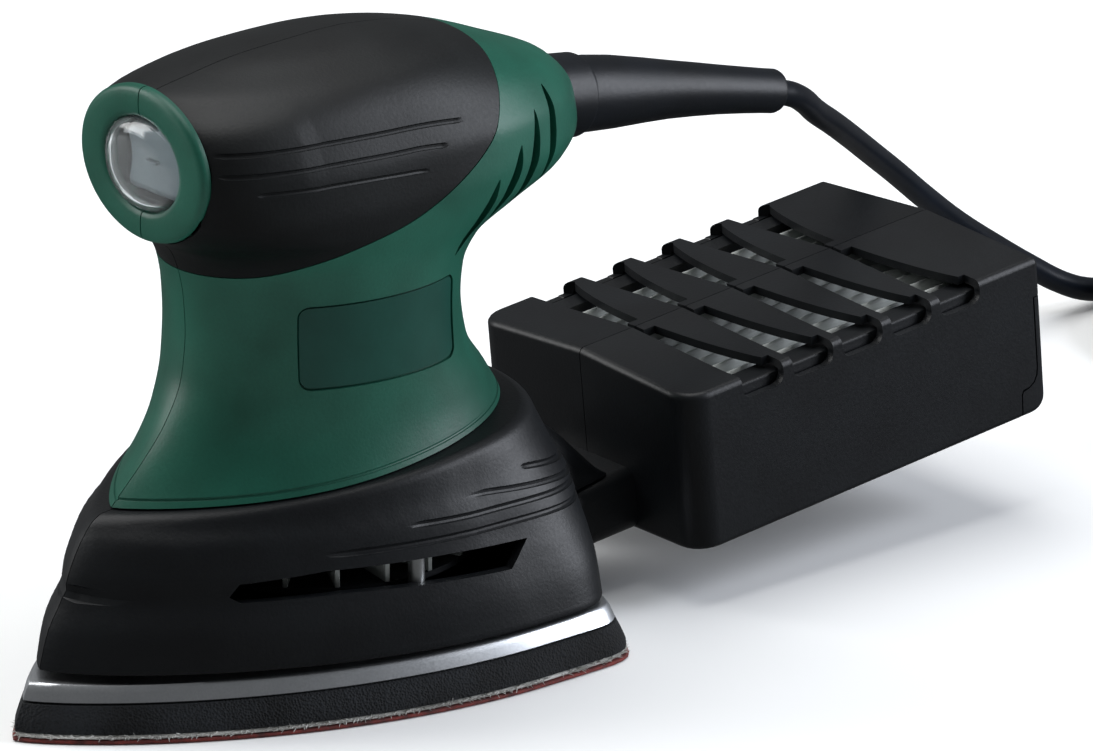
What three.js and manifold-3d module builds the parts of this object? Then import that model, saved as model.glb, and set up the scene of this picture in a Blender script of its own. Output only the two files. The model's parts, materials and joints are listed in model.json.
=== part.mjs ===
// Detail ("mouse") sander with a clip-on dust cassette, mains cord and plug.
// Millimetres, +Z up. The nose points along -Y and the cord leaves along +Y.
// The origin is on the motor axis, on the face that rests on the work: the bottom of the abrasive.
import * as THREE from 'three';
import { mergeVertices } from 'three/addons/utils/BufferGeometryUtils.js';
import Module from 'manifold-3d';

const wasm = await Module();
wasm.setup();

// ---------------------------------------------------------------- driving dimensions
const GAP = 0.3;              // clearance between touching pieces
const AROUND = 28;            // points round a body section
const WALL = 2.4;             // moulded shell thickness
const GRIP = 2.0;             // soft grip thickness
const ORBIT = 0.7;            // half of the 1.4 mm orbit diameter
const SEAM = 0.15;            // half of the parting gap at x = 0
const HEM_SLOPE = 0.1;        // rise of the line between upper and lower housing, per mm of y
const HEM_Z = 55.2;           // height of that line above the motor axis

// Each body section is level: z, y of the nose, y of the rear, y of the widest place, half width,
// then two curve exponents (length, width) for the front half and two for the rear half.
const UPPER = [
  [46, -61.6, 51, 2, 36.2, 2.2, 1.2, 2.1, 2.1], [52, -55.6, 49.5, 2, 35.3, 2.2, 1.15, 2.1, 2.1],
  [58, -49.4, 48, 2, 33.2, 2.1, 1.3, 2.1, 2.1], [66, -42.6, 43.4, 2, 31.6, 2, 1.6, 2.1, 2.1],
  [76, -37.8, 36.6, 2, 31, 2, 1.9, 2.1, 2.1], [87, -36.5, 34.6, 2, 30.8, 2, 2, 2.1, 2.1],
  [95, -36.9, 35.8, 2, 30.8, 2, 2, 2.1, 2.1], [102, -38.3, 42.5, 2, 31.2, 2, 2, 2.1, 2],
  [108, -41, 58, 2, 32.4, 2.2, 2.2, 2.2, 1.9], [113, -46, 69.5, 2, 33.6, 2.6, 3, 2.3, 1.9],
  [119, -48, 73, 2, 34.4, 3, 3.8, 2.4, 1.9], [127, -48.3, 71.5, 2, 34.2, 3, 4, 2.4, 1.9],
  [134, -48, 65.5, 2, 32, 3, 3.8, 2.3, 1.9], [140, -47.5, 52, 3, 29, 2.8, 3, 2.2, 2],
  [144.5, -45.5, 40, 4, 24.5, 2.4, 2, 2.1, 2], [147.5, -33.4, 30, 5, 18, 2.2, 2, 2, 2],
  [149.8, -20.2, 21, 6, 11.5, 2, 2, 2, 2], [151.4, 2, 9, 6.5, 1.5, 2, 2, 2, 2],
];
const LOWER = [
  [15, -79.4, 56.6, 25, 51, 1.8, 1.3, 5, 2.4], [23.5, -76.8, 57, 22, 49.2, 1.8, 1.35, 5, 2.4],
  [31, -72.5, 57.3, 19, 46.8, 1.8, 1.3, 4.5, 2.4], [37, -70.2, 57.3, 16, 44.6, 1.9, 1.35, 4.2, 2.3],
  [43, -67, 56.5, 13, 42.8, 1.9, 1.35, 4, 2.3], [48, -63, 55, 11, 40.5, 2, 1.2, 3.6, 2.2],
  [56, -55, 52, 8, 38, 2, 1.2, 3.2, 2.2], [66, -45, 48, 6, 34, 2, 1.3, 3, 2.2],
];
const PAD = { nose: -87, rear: 60, widest: 27, half: 52, curve: [1.9, 1.2, 9, 3] };
const PAD_LAYERS = {          // z from, z to, inset of the outline at the bottom and at the top
  sheet: [0, 0.9, 0, 0.2], hooks: [1.2, 2.4, 0.7, 0.8], foam: [2.7, 8.6, 0.6, 2.5], plate: [8.9, 13.1, 2.8, 5.4],
};
const DUST_HOLES = [[0, -52], [-17, -30], [17, -30], [-31, 2], [31, 2], [-34, 34], [34, 34], [0, 42]];
const DUST_HOLE_R = 4;

const SHAFT_R = 4;
const FAN = { r: 38, z: 28.5, disc: 1.4, top: 38, blades: 12 };
const STATOR = { outer: 25, inner: 15, z0: 60, z1: 92 };
const ARMATURE_R = 14;
const COMMUTATOR = { r: 8, z0: 100, z1: 110 };
const RING = { x: 14.2, z: 10.2, mid: 128.5 };     // the opening for the switch in the nose ring
const NOSE_PLATE = { x: 22.7, z: 18, front: -48.3 };  // the flat oval ring round that opening
const GRIP_FRONT = -44.6;                          // the soft grip starts behind the nose ring

const CASSETTE = { y: 80, z: 53.6, tilt: 5.7, half: 38.9, length: 112, deep: 38, ridge: 2.5, wall: 2 };
const SLOTS = { first: 16.5, pitch: 15.7, count: 5, narrow: 4.5, wide: 13, wrap: 6 };
const DUCT = { half: 22, top: -19, bottom: -37, wall: 1.5, overlap: 10 };
const SPIGOT_Y = [-28, -13];                       // local y of the spigot's two ends

const CORD_R = 3.1;
const SLEEVE = { from: [0, 78, 118.6], to: [0, 140.7, 107.4] };
const COIL = { x: -12, y: 335, columns: 5, layers: 2, mean: 37 };

// ---------------------------------------------------------------- helpers
const group = new THREE.Group();
const X = new THREE.Vector3(1, 0, 0), Y = new THREE.Vector3(0, 1, 0), Z = new THREE.Vector3(0, 0, 1);
const v2 = (x, y) => new THREE.Vector2(x, y);

const FINISH = {
  green: [0x1f4d40, 0.45, 0], grip: [0x191c1e, 0.7, 0], black: [0x15171a, 0.5, 0], steel: [0xb8bcc0, 0.3, 1],
  plate: [0xc3c7ca, 0.35, 0.9], foam: [0x202226, 0.9, 0], hook: [0xd8d8d4, 0.95, 0], abrasive: [0x7c1f1c, 0.95, 0],
  copper: [0xa8622f, 0.35, 1], white: [0xd9dbd8, 0.5, 0], clear: [0xdfe8ea, 0.1, 0], rubber: [0x17191c, 0.75, 0],
  iron: [0x5b5f63, 0.5, 0.9], carbon: [0x2a2a2b, 0.8, 0], filter: [0xb9bdbb, 0.95, 0], cord: [0x10151c, 0.35, 0],
  brass: [0xb9974f, 0.35, 1],
};

function addMesh(name, shape, finish, parent = group) {
  const geometry = shape instanceof wasm.Manifold ? toGeometry(shape) : shape;
  const [color, roughness, metalness] = FINISH[finish];
  const mesh = new THREE.Mesh(geometry, new THREE.MeshStandardMaterial({ color, roughness, metalness }));
  mesh.name = name;
  parent.add(mesh);
  return mesh;
}

function toSolid(source) {
  const bare = source.clone();
  for (const key of Object.keys(bare.attributes)) if (key !== 'position') bare.deleteAttribute(key);
  const merged = mergeVertices(bare, 1e-4);
  return new wasm.Manifold(new wasm.Mesh({
    numProp: 3,
    vertProperties: new Float32Array(merged.attributes.position.array),
    triVerts: new Uint32Array(merged.index.array),
  }));
}

function toGeometry(solid) {
  const mesh = solid.getMesh();
  const geometry = new THREE.BufferGeometry();
  geometry.setAttribute('position', new THREE.BufferAttribute(Float32Array.from(mesh.vertProperties), 3));
  geometry.setIndex(Array.from(mesh.triVerts));
  geometry.computeVertexNormals();
  return geometry;
}

// a box between two corners
function box(low, high) {
  const size = high.map((v, i) => v - low[i]);
  const geometry = new THREE.BoxGeometry(...size);
  return geometry.translate(...low.map((v, i) => v + size[i] / 2));
}

// a solid turned about a vertical line through (x, y); the profile is [radius, height] pairs
function turned(profile, x = 0, y = 0, sides = 20) {
  const geometry = new THREE.LatheGeometry(profile.map(([r, z]) => v2(r, z)), sides);
  return geometry.rotateX(Math.PI / 2).translate(x, y, 0);
}
const disc = (r, z0, z1, x = 0, y = 0, sides = 20) => turned([[0, z0], [r, z0], [r, z1], [0, z1]], x, y, sides);
const ringOf = (r0, r1, z0, z1, x = 0, y = 0, sides = 20) =>
  turned([[r0, z0], [r1, z0], [r1, z1], [r0, z1], [r0, z0]], x, y, sides);

// an outline drawn in the side view (y, z), as a solid from x0 to x1
function sidePrism(points, x0, x1) {
  const geometry = new THREE.ExtrudeGeometry(new THREE.Shape(points.map(([y, z]) => v2(y, z))),
    { depth: x1 - x0, bevelEnabled: false });
  return geometry.applyMatrix4(new THREE.Matrix4().makeBasis(Y, Z, X)).translate(x0, 0, 0);
}

// an outline drawn in the front view (x, z), as a solid from y0 to y1
function frontPrism(shape, y0, y1, curveSegments = 6) {
  const geometry = new THREE.ExtrudeGeometry(shape, { depth: y1 - y0, bevelEnabled: false, curveSegments });
  return geometry.applyMatrix4(new THREE.Matrix4().makeBasis(X, Z, Y.clone().negate())).translate(0, y1, 0);
}

// one closed section: both halves are superellipse arcs that meet at the widest place
function section([z, nose, rear, widest, half, frontY, frontX, rearY, rearX]) {
  const points = [];
  for (let i = 0; i < AROUND; i++) {
    const angle = -Math.PI / 2 + (2 * Math.PI * i) / AROUND;
    const s = Math.sin(angle), c = Math.cos(angle);
    const isFront = s < -1e-9;
    const reach = isFront ? widest - nose : rear - widest;
    const ey = isFront ? frontY : rearY, ex = isFront ? frontX : rearX;
    points.push(new THREE.Vector3(
      Math.sign(c) * half * Math.pow(Math.abs(c) < 1e-9 ? 0 : Math.abs(c), 2 / ex),
      widest + Math.sign(s) * reach * Math.pow(Math.abs(s), 2 / ey), z));
  }
  return points;
}

// a closed solid through a stack of sections, with a flat cap at each end
function loft(rows) {
  const positions = [], index = [];
  for (const row of rows) for (const p of section(row)) positions.push(p.x, p.y, p.z);
  const cap = (row) => {
    positions.push(0, row[3], row[0]);
    return positions.length / 3 - 1;
  };
  const low = cap(rows[0]), high = cap(rows[rows.length - 1]), last = (rows.length - 1) * AROUND;
  for (let i = 0; i < AROUND; i++) {
    const j = (i + 1) % AROUND;
    index.push(low, j, i, high, last + i, last + j);
    for (let k = 0; k < rows.length - 1; k++) {
      const a = k * AROUND + i, b = k * AROUND + j, c = a + AROUND, d = b + AROUND;
      index.push(a, b, d, a, d, c);
    }
  }
  const geometry = new THREE.BufferGeometry();
  geometry.setAttribute('position', new THREE.Float32BufferAttribute(positions, 3));
  geometry.setIndex(index);
  return geometry;
}

// the same stack made smaller all round; the crown comes down by the same amount
function inset(rows, by) {
  const crown = rows[rows.length - 1][0];
  return rows.map(([z, nose, rear, widest, half, ...curves]) => {
    const drop = by * THREE.MathUtils.smoothstep(z, crown - 22, crown) * (crown > 100 ? 1 : 0);
    return [z - drop, nose + by, Math.max(rear - by, widest + 1), widest, Math.max(half - by, 1), ...curves];
  });
}

// everything above the slanted line between the two housings, moved up by lift
function aboveHem(lift) {
  const slab = box([-90, -150, 0], [90, 150, 160]);
  return toSolid(slab.rotateX(Math.atan(HEM_SLOPE)).translate(0, 0, HEM_Z + lift));
}
const leftSide = () => toSolid(box([SEAM, -130, -5], [90, 130, 160]));
const rightSide = () => toSolid(box([-90, -130, -5], [-SEAM, 130, 160]));

function addHalves(name, solid, finish, parent) {
  addMesh(`${name}_left`, solid.intersect(leftSide()), finish, parent);
  addMesh(`${name}_right`, solid.intersect(rightSide()), finish, parent);
}

// ---------------------------------------------------------------- pad and abrasive
function padLayer([z0, z1, low, high], holes) {
  const row = (z, by) => [z, PAD.nose + by * 1.1, PAD.rear - by, PAD.widest, PAD.half - by, ...PAD.curve];
  let solid = toSolid(loft([row(z0, low), row(z1, high)]));
  for (const [x, y] of holes) solid = solid.subtract(toSolid(disc(DUST_HOLE_R, z0 - 1, z1 + 1, x, y, 8)));
  return solid;
}

function addPad() {
  addMesh('sanding_sheet', padLayer(PAD_LAYERS.sheet, DUST_HOLES), 'abrasive');
  addMesh('hook_layer', padLayer(PAD_LAYERS.hooks, DUST_HOLES), 'hook');
  addMesh('foam_pad', padLayer(PAD_LAYERS.foam, DUST_HOLES), 'foam');
  const seat = toSolid(turned([[0, 12], [14, 12], [14, 21.5], [11.3, 21.5], [11.3, 13.8], [0, 13.8]], ORBIT, 0));
  addMesh('pad_plate', padLayer(PAD_LAYERS.plate, DUST_HOLES).add(seat), 'plate');
  addMesh('pad_bearing', ringOf(SHAFT_R + GAP, 11, 14.1, 21.1, ORBIT, 0, 20), 'steel');
  const legs = { front_left: [14, -46], front_right: [-14, -46], rear_left: [22, 46], rear_right: [-22, 46] };
  for (const [place, [x, y]] of Object.entries(legs)) {
    const post = turned([[0, 13.4], [5, 13.4], [5, 15], [3, 16.5], [3, 20], [5, 21], [5, 21.7], [0, 21.7]], x, y, 12);
    addMesh(`pad_leg_${place}`, post, 'rubber');
  }
}

// ---------------------------------------------------------------- motor
function addRotor() {
  addMesh('motor_shaft', turned([[0, 24.3], [SHAFT_R, 24.3], [SHAFT_R, 118], [3, 120], [0, 120]], 0, 0, 16), 'steel');
  const collar = toSolid(disc(7, 21.6, 24, 0, 0, 20)).add(toSolid(disc(SHAFT_R, 14.4, 22, ORBIT, 0, 16)));
  addMesh('eccentric', collar, 'steel');
  const weight = toSolid(ringOf(SHAFT_R + GAP, 17, 24.6, 28.1, 0, 0, 28));
  const half = toSolid(box([-40, -40, 20], [2, 40, 40]));
  addMesh('counterweight', weight.intersect(half).add(toSolid(ringOf(SHAFT_R + GAP, 8, 24.6, 28.1))), 'iron');
  let fan = toSolid(ringOf(SHAFT_R + GAP, FAN.r, FAN.z, FAN.z + FAN.disc, 0, 0, 36));
  fan = fan.add(toSolid(ringOf(SHAFT_R + GAP, 9, FAN.z, FAN.top)));
  for (let i = 0; i < FAN.blades; i++) {
    const blade = box([14, -0.7, FAN.z + 0.7], [FAN.r - 0.4, 0.7, FAN.top]);
    fan = fan.add(toSolid(blade.rotateZ((2 * Math.PI * i) / FAN.blades)));
  }
  addMesh('fan', fan, 'white');
  addMesh('armature_core', ringOf(SHAFT_R + GAP, ARMATURE_R, STATOR.z0, STATOR.z1), 'iron');
  const head = (z0, z1) => turned([[5, z0], [10, z0], [13, (z0 + z1) / 2], [10, z1], [5, z1], [5, z0]], 0, 0, 20);
  addMesh('winding_lower', head(53.5, STATOR.z0 - GAP), 'copper');
  addMesh('winding_upper', head(STATOR.z1 + GAP, 99), 'copper');
  addMesh('commutator', ringOf(SHAFT_R + GAP, COMMUTATOR.r, COMMUTATOR.z0, COMMUTATOR.z1), 'copper');
}

function addMotorFrame() {
  const stator = toSolid(ringOf(STATOR.inner, STATOR.outer, STATOR.z0, STATOR.z1, 0, 0, 32));
  const flats = toSolid(box([-30, -22.5, 50], [30, 22.5, 100]));
  addMesh('stator_core', stator.intersect(flats), 'iron');
  for (const [name, side] of [['field_coil_front', -1], ['field_coil_rear', 1]]) {
    const coil = toSolid(ringOf(15, 21, STATOR.z1 + GAP, 98.5, 0, 0, 28));
    const part = box([-18, Math.min(side * 4, side * 24), 90], [18, Math.max(side * 4, side * 24), 101]);
    addMesh(name, coil.intersect(toSolid(part)), 'copper');
  }
  const shield = [[11.4, 44], [25, 44], [25, 46.5], [14, 46.5], [14, 52], [11.4, 52], [11.4, 44]];
  addMesh('motor_shield', turned(shield), 'black');
  addMesh('lower_bearing', ringOf(SHAFT_R + GAP, 11, 44.6, 51.6), 'steel');
  const bridge = toSolid(box([-24, -13, 112.4], [24, 13, 118])).subtract(toSolid(disc(9.8, 110, 120)));
  addMesh('upper_bearing_bridge', bridge, 'black');
  addMesh('upper_bearing', ringOf(SHAFT_R + GAP, 9.5, 112.6, 117.8), 'steel');
  for (const [place, side] of [['left', 1], ['right', -1]]) {
    const span = (a, b) => [Math.min(side * a, side * b), Math.max(side * a, side * b)];
    const [bx0, bx1] = span(8.4, 19), [hx0, hx1] = span(10, 24.5);
    addMesh(`brush_${place}`, box([bx0, -2.5, 101], [bx1, 2.5, 109]), 'carbon');
    const holder = toSolid(box([hx0, -4.2, 99.4], [hx1, 4.2, 110.6]));
    addMesh(`brush_holder_${place}`,
      holder.subtract(toSolid(box([hx0 - 1, -2.8, 100.7], [hx1 + 1, 2.8, 109.3]))), 'brass');
  }
}

// ---------------------------------------------------------------- switch
function ellipse(rx, rz, z = RING.mid) {
  const shape = new THREE.Shape();
  shape.absellipse(0, z, rx, rz, 0, 2 * Math.PI, false, 0);
  return shape;
}

function addSwitch() {
  const dome = toSolid(frontPrism(ellipse(RING.x - 0.4, RING.z - 0.4), -48.2, -45.6));
  const hollow = toSolid(frontPrism(ellipse(RING.x - 1.6, RING.z - 1.6), -47.2, -44));
  addMesh('switch_boot', dome.subtract(hollow), 'clear');
  addMesh('switch_rocker', sidePrism([[-43.6, 121.5], [-44.4, 128.5], [-43.6, 135.5], [-39, 134.5], [-37, 128.5],
    [-39, 122.5]], -8.2, 8.2), 'rubber');
  addMesh('switch_body', box([-9.5, -35.6, 120.2], [9.5, -18, 136.8]), 'rubber');
  addMesh('suppression_capacitor', box([-9, 22, 121], [9, 38, 134]), 'white');
}

// ---------------------------------------------------------------- housings
const GRIP_EDGE = [[-38.6, 102], [-30, 103.3], [-21.6, 106], [-10.3, 109.6], [3.8, 113.6], [17.1, 120.2],
  [25.3, 125.9], [30.4, 131.8], [34.2, 138.6], [38.5, 146], [40.5, 160]];

// the side view of the soft grip: its lower and rear edge, and the plane behind the nose ring
function gripZone(grow) {
  const edge = GRIP_EDGE.map(([y, z], i) => [y + grow * (i > 4 ? 1 : 0), z - grow * (i < 7 ? 1 : 0)]);
  const front = GRIP_FRONT - grow;
  return toSolid(sidePrism([[-60, 102 - grow], ...edge, [front, 160], [front, 112.6 + grow * 0.5], [-60, 112.6]],
    -60, 60));
}

// one crescent cooling slot: a centre line in the side view and a width that swells in the middle
const VENTS = [
  [[49.1, 135.2], [49.9, 127], [49.3, 118.5], [46.5, 110]], [[42.8, 130], [42.6, 122], [40.5, 114.5], [36.5, 106.5]],
  [[36.8, 123.2], [35.6, 118], [33.2, 112], [29.8, 106]], [[29.2, 117.2], [27.6, 111.5], [24.7, 105.4], [19.5, 99.5]],
];
function vent(line) {
  const curve = new THREE.SplineCurve(line.map(([y, z]) => v2(y, z)));
  const front = [], back = [];
  for (let i = 0; i <= 6; i++) {
    const p = curve.getPoint(i / 6), half = 0.1 + 1.5 * Math.sin((Math.PI * i) / 6);
    front.push([p.x - half, p.y]);
    back.unshift([p.x + half, p.y]);
  }
  return [...front, ...back];
}

const cavity = (rows) => toSolid(loft(inset(rows, GRIP + GAP + WALL)));

function addHousing() {
  const outer = toSolid(loft(UPPER)).intersect(aboveHem(0));
  const core = toSolid(loft(inset(UPPER, GRIP + GAP))).intersect(aboveHem(0));
  const room = cavity([[40, ...UPPER[0].slice(1)], ...UPPER.filter((row, i) => i % 2 === 1)]);
  const plate = (grow) => toSolid(frontPrism(ellipse(NOSE_PLATE.x + grow, NOSE_PLATE.z + grow),
    NOSE_PLATE.front, GRIP_FRONT - GAP + grow, 12));
  const grip = outer.intersect(gripZone(0)).subtract(toSolid(loft(inset(UPPER, GRIP)))).subtract(plate(GAP));
  addHalves('grip', grip, 'grip');

  const ahead = toSolid(box([-60, -60, 110], [60, GRIP_FRONT - GAP, 160]));
  let shell = outer.subtract(gripZone(GAP)).subtract(ahead).add(core).add(plate(0)).subtract(room);
  shell = shell.subtract(toSolid(frontPrism(ellipse(RING.x, RING.z), -60, -38)));
  for (const line of VENTS) {
    for (const [x0, x1] of [[12, 45], [-45, -12]]) shell = shell.subtract(toSolid(sidePrism(vent(line), x0, x1)));
  }
  shell = shell.subtract(sleeveBore());
  addHalves('housing', shell, 'green');
}

const WINDOW = [[-45, 32], [-43, 30.6], [-20, 30.8], [20, 29.2], [26.2, 34.7], [5, 35.8], [-25, 36.5], [-43, 35]];

function addSkirt() {
  const outer = toSolid(loft(LOWER)).subtract(aboveHem(-GAP));
  const room = toSolid(loft(inset([[10, ...LOWER[0].slice(1)], ...LOWER], WALL))).subtract(aboveHem(-GAP - WALL));
  const well = cavity([[40, ...UPPER[0].slice(1)], UPPER[1], UPPER[3], UPPER[5]]);
  let shell = outer.subtract(room).subtract(well);
  for (const [x0, x1] of [[20, 60], [-60, -20]]) shell = shell.subtract(toSolid(sidePrism(WINDOW, x0, x1)));
  shell = shell.subtract(inCassetteFrame(box([-20.8, -34, DUCT.bottom + 0.9], [20.8, -20, DUCT.top - 0.9])));
  addHalves('skirt', shell, 'black');
  const cover = [[22, -76.8, 57, 22, 49.2, 1.8, 1.35, 5, 2.4], [24, -76.6, 57, 22, 49, 1.8, 1.35, 5, 2.4]];
  addMesh('fan_cover', toSolid(loft(inset(cover, WALL + 0.6))).subtract(toSolid(disc(18.5, 20, 26))), 'black');
}

// ---------------------------------------------------------------- dust cassette
const cassetteMatrix = new THREE.Matrix4().makeTranslation(0, CASSETTE.y, CASSETTE.z)
  .multiply(new THREE.Matrix4().makeRotationX(THREE.MathUtils.degToRad(CASSETTE.tilt)));
const inCassetteFrame = (geometry) => toSolid(geometry.clone().applyMatrix4(cassetteMatrix));

// the gabled cross-section, made smaller by by
function gable(by, floor = by) {
  const w = CASSETTE.half - by, low = -CASSETTE.deep + floor, round = Math.max(6 - by, 1);
  const shape = new THREE.Shape();
  shape.moveTo(-w + round, low);
  shape.lineTo(w - round, low);
  shape.lineTo(w, low + round);
  shape.lineTo(w, -by - 1.5);
  shape.lineTo(w - 1.5, -by);
  shape.lineTo(0, CASSETTE.ridge - by);
  shape.lineTo(-w + 1.5, -by);
  shape.lineTo(-w, -by - 1.5);
  shape.lineTo(-w, low + round);
  return shape;
}

// a slot is narrow by the ridge and wide at the side, where it turns down the wall
function slot(start, side) {
  const edge = new THREE.QuadraticBezierCurve(v2(3, start + SLOTS.narrow), v2(24, start + SLOTS.narrow + 2.5),
    v2(CASSETTE.half - 1, start + SLOTS.wide));
  const rear = edge.getPoints(5).map((p) => v2(side * p.x, p.y));
  const shape = new THREE.Shape([v2(side * 3, start), ...rear, v2(side * 45, start + SLOTS.wide),
    v2(side * 45, start + 3)]);
  return new THREE.ExtrudeGeometry(shape, { depth: SLOTS.wrap + 6, bevelEnabled: false }).translate(0, 0, -SLOTS.wrap);
}

function addCassette() {
  const frame = new THREE.Group();
  frame.position.set(0, CASSETTE.y, CASSETTE.z);
  frame.rotation.x = THREE.MathUtils.degToRad(CASSETTE.tilt);
  group.add(frame);
  const { length, wall, half, deep } = CASSETTE;

  let shell = toSolid(frontPrism(gable(0), 0, length)).subtract(toSolid(frontPrism(gable(wall), wall, length + 5)));
  for (let i = 0; i < SLOTS.count; i++) {
    for (const side of [-1, 1]) shell = shell.subtract(toSolid(slot(SLOTS.first + i * SLOTS.pitch, side)));
  }
  const flapCut = toSolid(box([-45, length - 3.3, -deep - 1], [45, length + 1, -9.7]))
    .add(toSolid(box([-45, length - 8.3, -deep - 1], [45, length + 1, -30.7])));
  shell = shell.subtract(flapCut).subtract(toSolid(box([-19, -2, DUCT.bottom + 3], [19, 4, DUCT.top - 3])));
  const halfBox = (x0, x1) => toSolid(box([x0, -10, -60], [x1, 150, 20]));
  addMesh('cassette_left', shell.intersect(halfBox(SEAM, 60)), 'black', frame);
  addMesh('cassette_right', shell.intersect(halfBox(-60, -SEAM)), 'black', frame);

  const flap = toSolid(box([-half, length - 3, -deep], [half, length, -10]))
    .add(toSolid(box([-half, length - 8, -deep], [half, length, -31]))
      .subtract(toSolid(box([-half + 2, length - 9, -deep + 2], [half - 2, length - 3, -30]))));
  addMesh('cassette_flap', flap, 'black', frame);

  const pleats = [], period = 5.4, count = 13, reach = (period * count) / 2;
  for (let i = 0; i <= count * 2; i++) pleats.push(v2(-reach + (i * period) / 2, i % 2 ? -3.2 : -8));
  const under = pleats.map((p) => v2(p.x, p.y - 1)).reverse();
  addMesh('filter_pleats', frontPrism(new THREE.Shape([...pleats, ...under]), 13, length - 16), 'filter', frame);
  const border = toSolid(box([-36.4, 8, -13], [36.4, length - 11, -9.4]))
    .subtract(toSolid(box([-33, 12, -14], [33, length - 15, -8])));
  addMesh('filter_frame', border, 'black', frame);

  const duct = (grow, y0, y1) => toSolid(box([-DUCT.half + grow, y0, DUCT.bottom + grow],
    [DUCT.half - grow, y1, DUCT.top - grow]));
  const mouth = SPIGOT_Y[1] - DUCT.overlap;
  addMesh('cassette_duct', duct(0, mouth, -GAP).subtract(duct(DUCT.wall, mouth - 5, 5)), 'black', frame);
  const spigot = duct(DUCT.wall + GAP, ...SPIGOT_Y).subtract(duct(DUCT.wall * 2 + GAP, SPIGOT_Y[0] - 5, 5));
  addMesh('exhaust_spigot', spigot, 'black', frame);
}

// ---------------------------------------------------------------- cord, sleeve, coil and plug
const sleeveStart = new THREE.Vector3(...SLEEVE.from), sleeveEnd = new THREE.Vector3(...SLEEVE.to);
const sleeveAxis = sleeveEnd.clone().sub(sleeveStart).normalize();
const onSleeve = (geometry) => geometry
  .applyQuaternion(new THREE.Quaternion().setFromUnitVectors(Y, sleeveAxis)).translate(...SLEEVE.from);
const alongY = (profile, sides = 20) => new THREE.LatheGeometry(profile.map(([r, y]) => v2(r, y)), sides);

function sleeveBore() {
  return toSolid(onSleeve(alongY([[0, -25], [10.4, -25], [10.4, 20], [0, 20]])));
}

function addSleeve() {
  const reach = sleeveStart.distanceTo(sleeveEnd);
  const profile = [[CORD_R + GAP, -18], [10, -18], [10, 4], [9.4, 7], [8.2, 16], [7, 30], [6, 45], [5.4, reach],
    [CORD_R + GAP, reach], [CORD_R + GAP, -18]];
  addMesh('strain_relief', onSleeve(alongY(profile)), 'rubber');
  addMesh('cord_clamp', box([-9, 42, 114], [9, 50, 117.5]), 'black');
}

const CORD_ROUTE = [[0, 140.9, 107.2], [-1.5, 147, 105], [-5.5, 154.5, 101], [-12, 164.2, 94.7], [-20, 177.4, 86.8],
  [-28, 190.6, 78.6], [-36, 205, 69.2], [-43, 219.5, 59.4], [-49.5, 235.8, 47.6], [-55, 252, 36.2], [-59, 268, 25.2],
  [-61, 283, 14.9], [-61.4, 296, 7.2], [-61.4, 304, 4.1], [-61.4, 310.4, CORD_R]];

function addCord() {
  const round = [];
  for (let i = 0; i < 10; i++) {
    round.push(v2(CORD_R * Math.cos((Math.PI * i) / 5), CORD_R * Math.sin((Math.PI * i) / 5)));
  }
  const tube = (points, steps) => new THREE.ExtrudeGeometry(new THREE.Shape(round),
    { extrudePath: new THREE.CatmullRomCurve3(points.map((p) => new THREE.Vector3(...p))), steps });
  addMesh('cord', tube(CORD_ROUTE, 22), 'cord');

  const half = (COIL.columns * CORD_R), inner = COIL.mean - half, outer = COIL.mean + half;
  const tall = COIL.layers * 2 * CORD_R;
  addMesh('cord_coil', ringOf(inner, outer, 0, tall, COIL.x, COIL.y, 28), 'cord');
  const tie = toSolid(box([COIL.x - 5, COIL.y + inner - 2, 0], [COIL.x + 5, COIL.y + outer + 2, tall + 1.6]))
    .subtract(toSolid(ringOf(inner - GAP, outer + GAP, -1, tall + GAP, COIL.x, COIL.y, 28)));
  addMesh('coil_tie', tie, 'rubber');

  const plugX = COIL.x + outer - CORD_R, plugY = COIL.y - 32;
  addMesh('cord_tail', tube([[plugX, COIL.y - 24.4, 8.5], [plugX, COIL.y - 28, 9.4], [plugX, plugY + 0.8, 10]], 3), 'cord');
  const body = alongY([[0, 0], [5, 0], [6.5, -8], [13, -12], [16, -24], [16, -34], [14, -38], [0, -38]], 16)
    .scale(1, 1, 0.62).translate(plugX, plugY, 10.2);
  addMesh('plug_body', body.toNonIndexed ? flip(body) : body, 'rubber');
  for (const [name, dx] of [['plug_pin_left', 9.5], ['plug_pin_right', -9.5]]) {
    addMesh(name, flip(alongY([[0, -38.3], [2.4, -38.3], [2.4, -56], [1.6, -57.3], [0, -57.3]], 10)
      .translate(plugX + dx, plugY, 10.2)), 'steel');
  }
}

// turn every face round, for a profile that runs downwards
function flip(geometry) {
  const index = geometry.index.array;
  for (let i = 0; i < index.length; i += 3) [index[i], index[i + 1]] = [index[i + 1], index[i]];
  return geometry;
}

// ---------------------------------------------------------------- screws
function addScrews() {
  const places = { nose: [-29, 111], rear: [29, 106], lower_front: [-30, 65], lower_rear: [33, 64] };
  for (const [place, [y, z]] of Object.entries(places)) {
    const screw = alongY([[0, 0], [1.6, 0], [1.6, 12], [3, 12.2], [3, 14], [0, 14]], 10);
    addMesh(`housing_screw_${place}`, screw.rotateZ(Math.PI / 2).translate(4, y, z), 'steel');
  }
}

addPad();
addRotor();
addMotorFrame();
addSwitch();
addHousing();
addSkirt();
addCassette();
addSleeve();
addCord();
addScrews();

export default group;
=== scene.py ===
"""Looks for the detail sander: body, pad, dust cassette, cord and plug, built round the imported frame.

Shapes are modelled in millimetres and turned to metres as each piece is finished.
-Y is the nose, +X the sander's left side, and the work surface is z = 0.
"""

import json
import random
from math import cos, exp, hypot, log, pi, radians, sin

import bmesh
import bpy
from mathutils import Matrix, Vector


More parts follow.
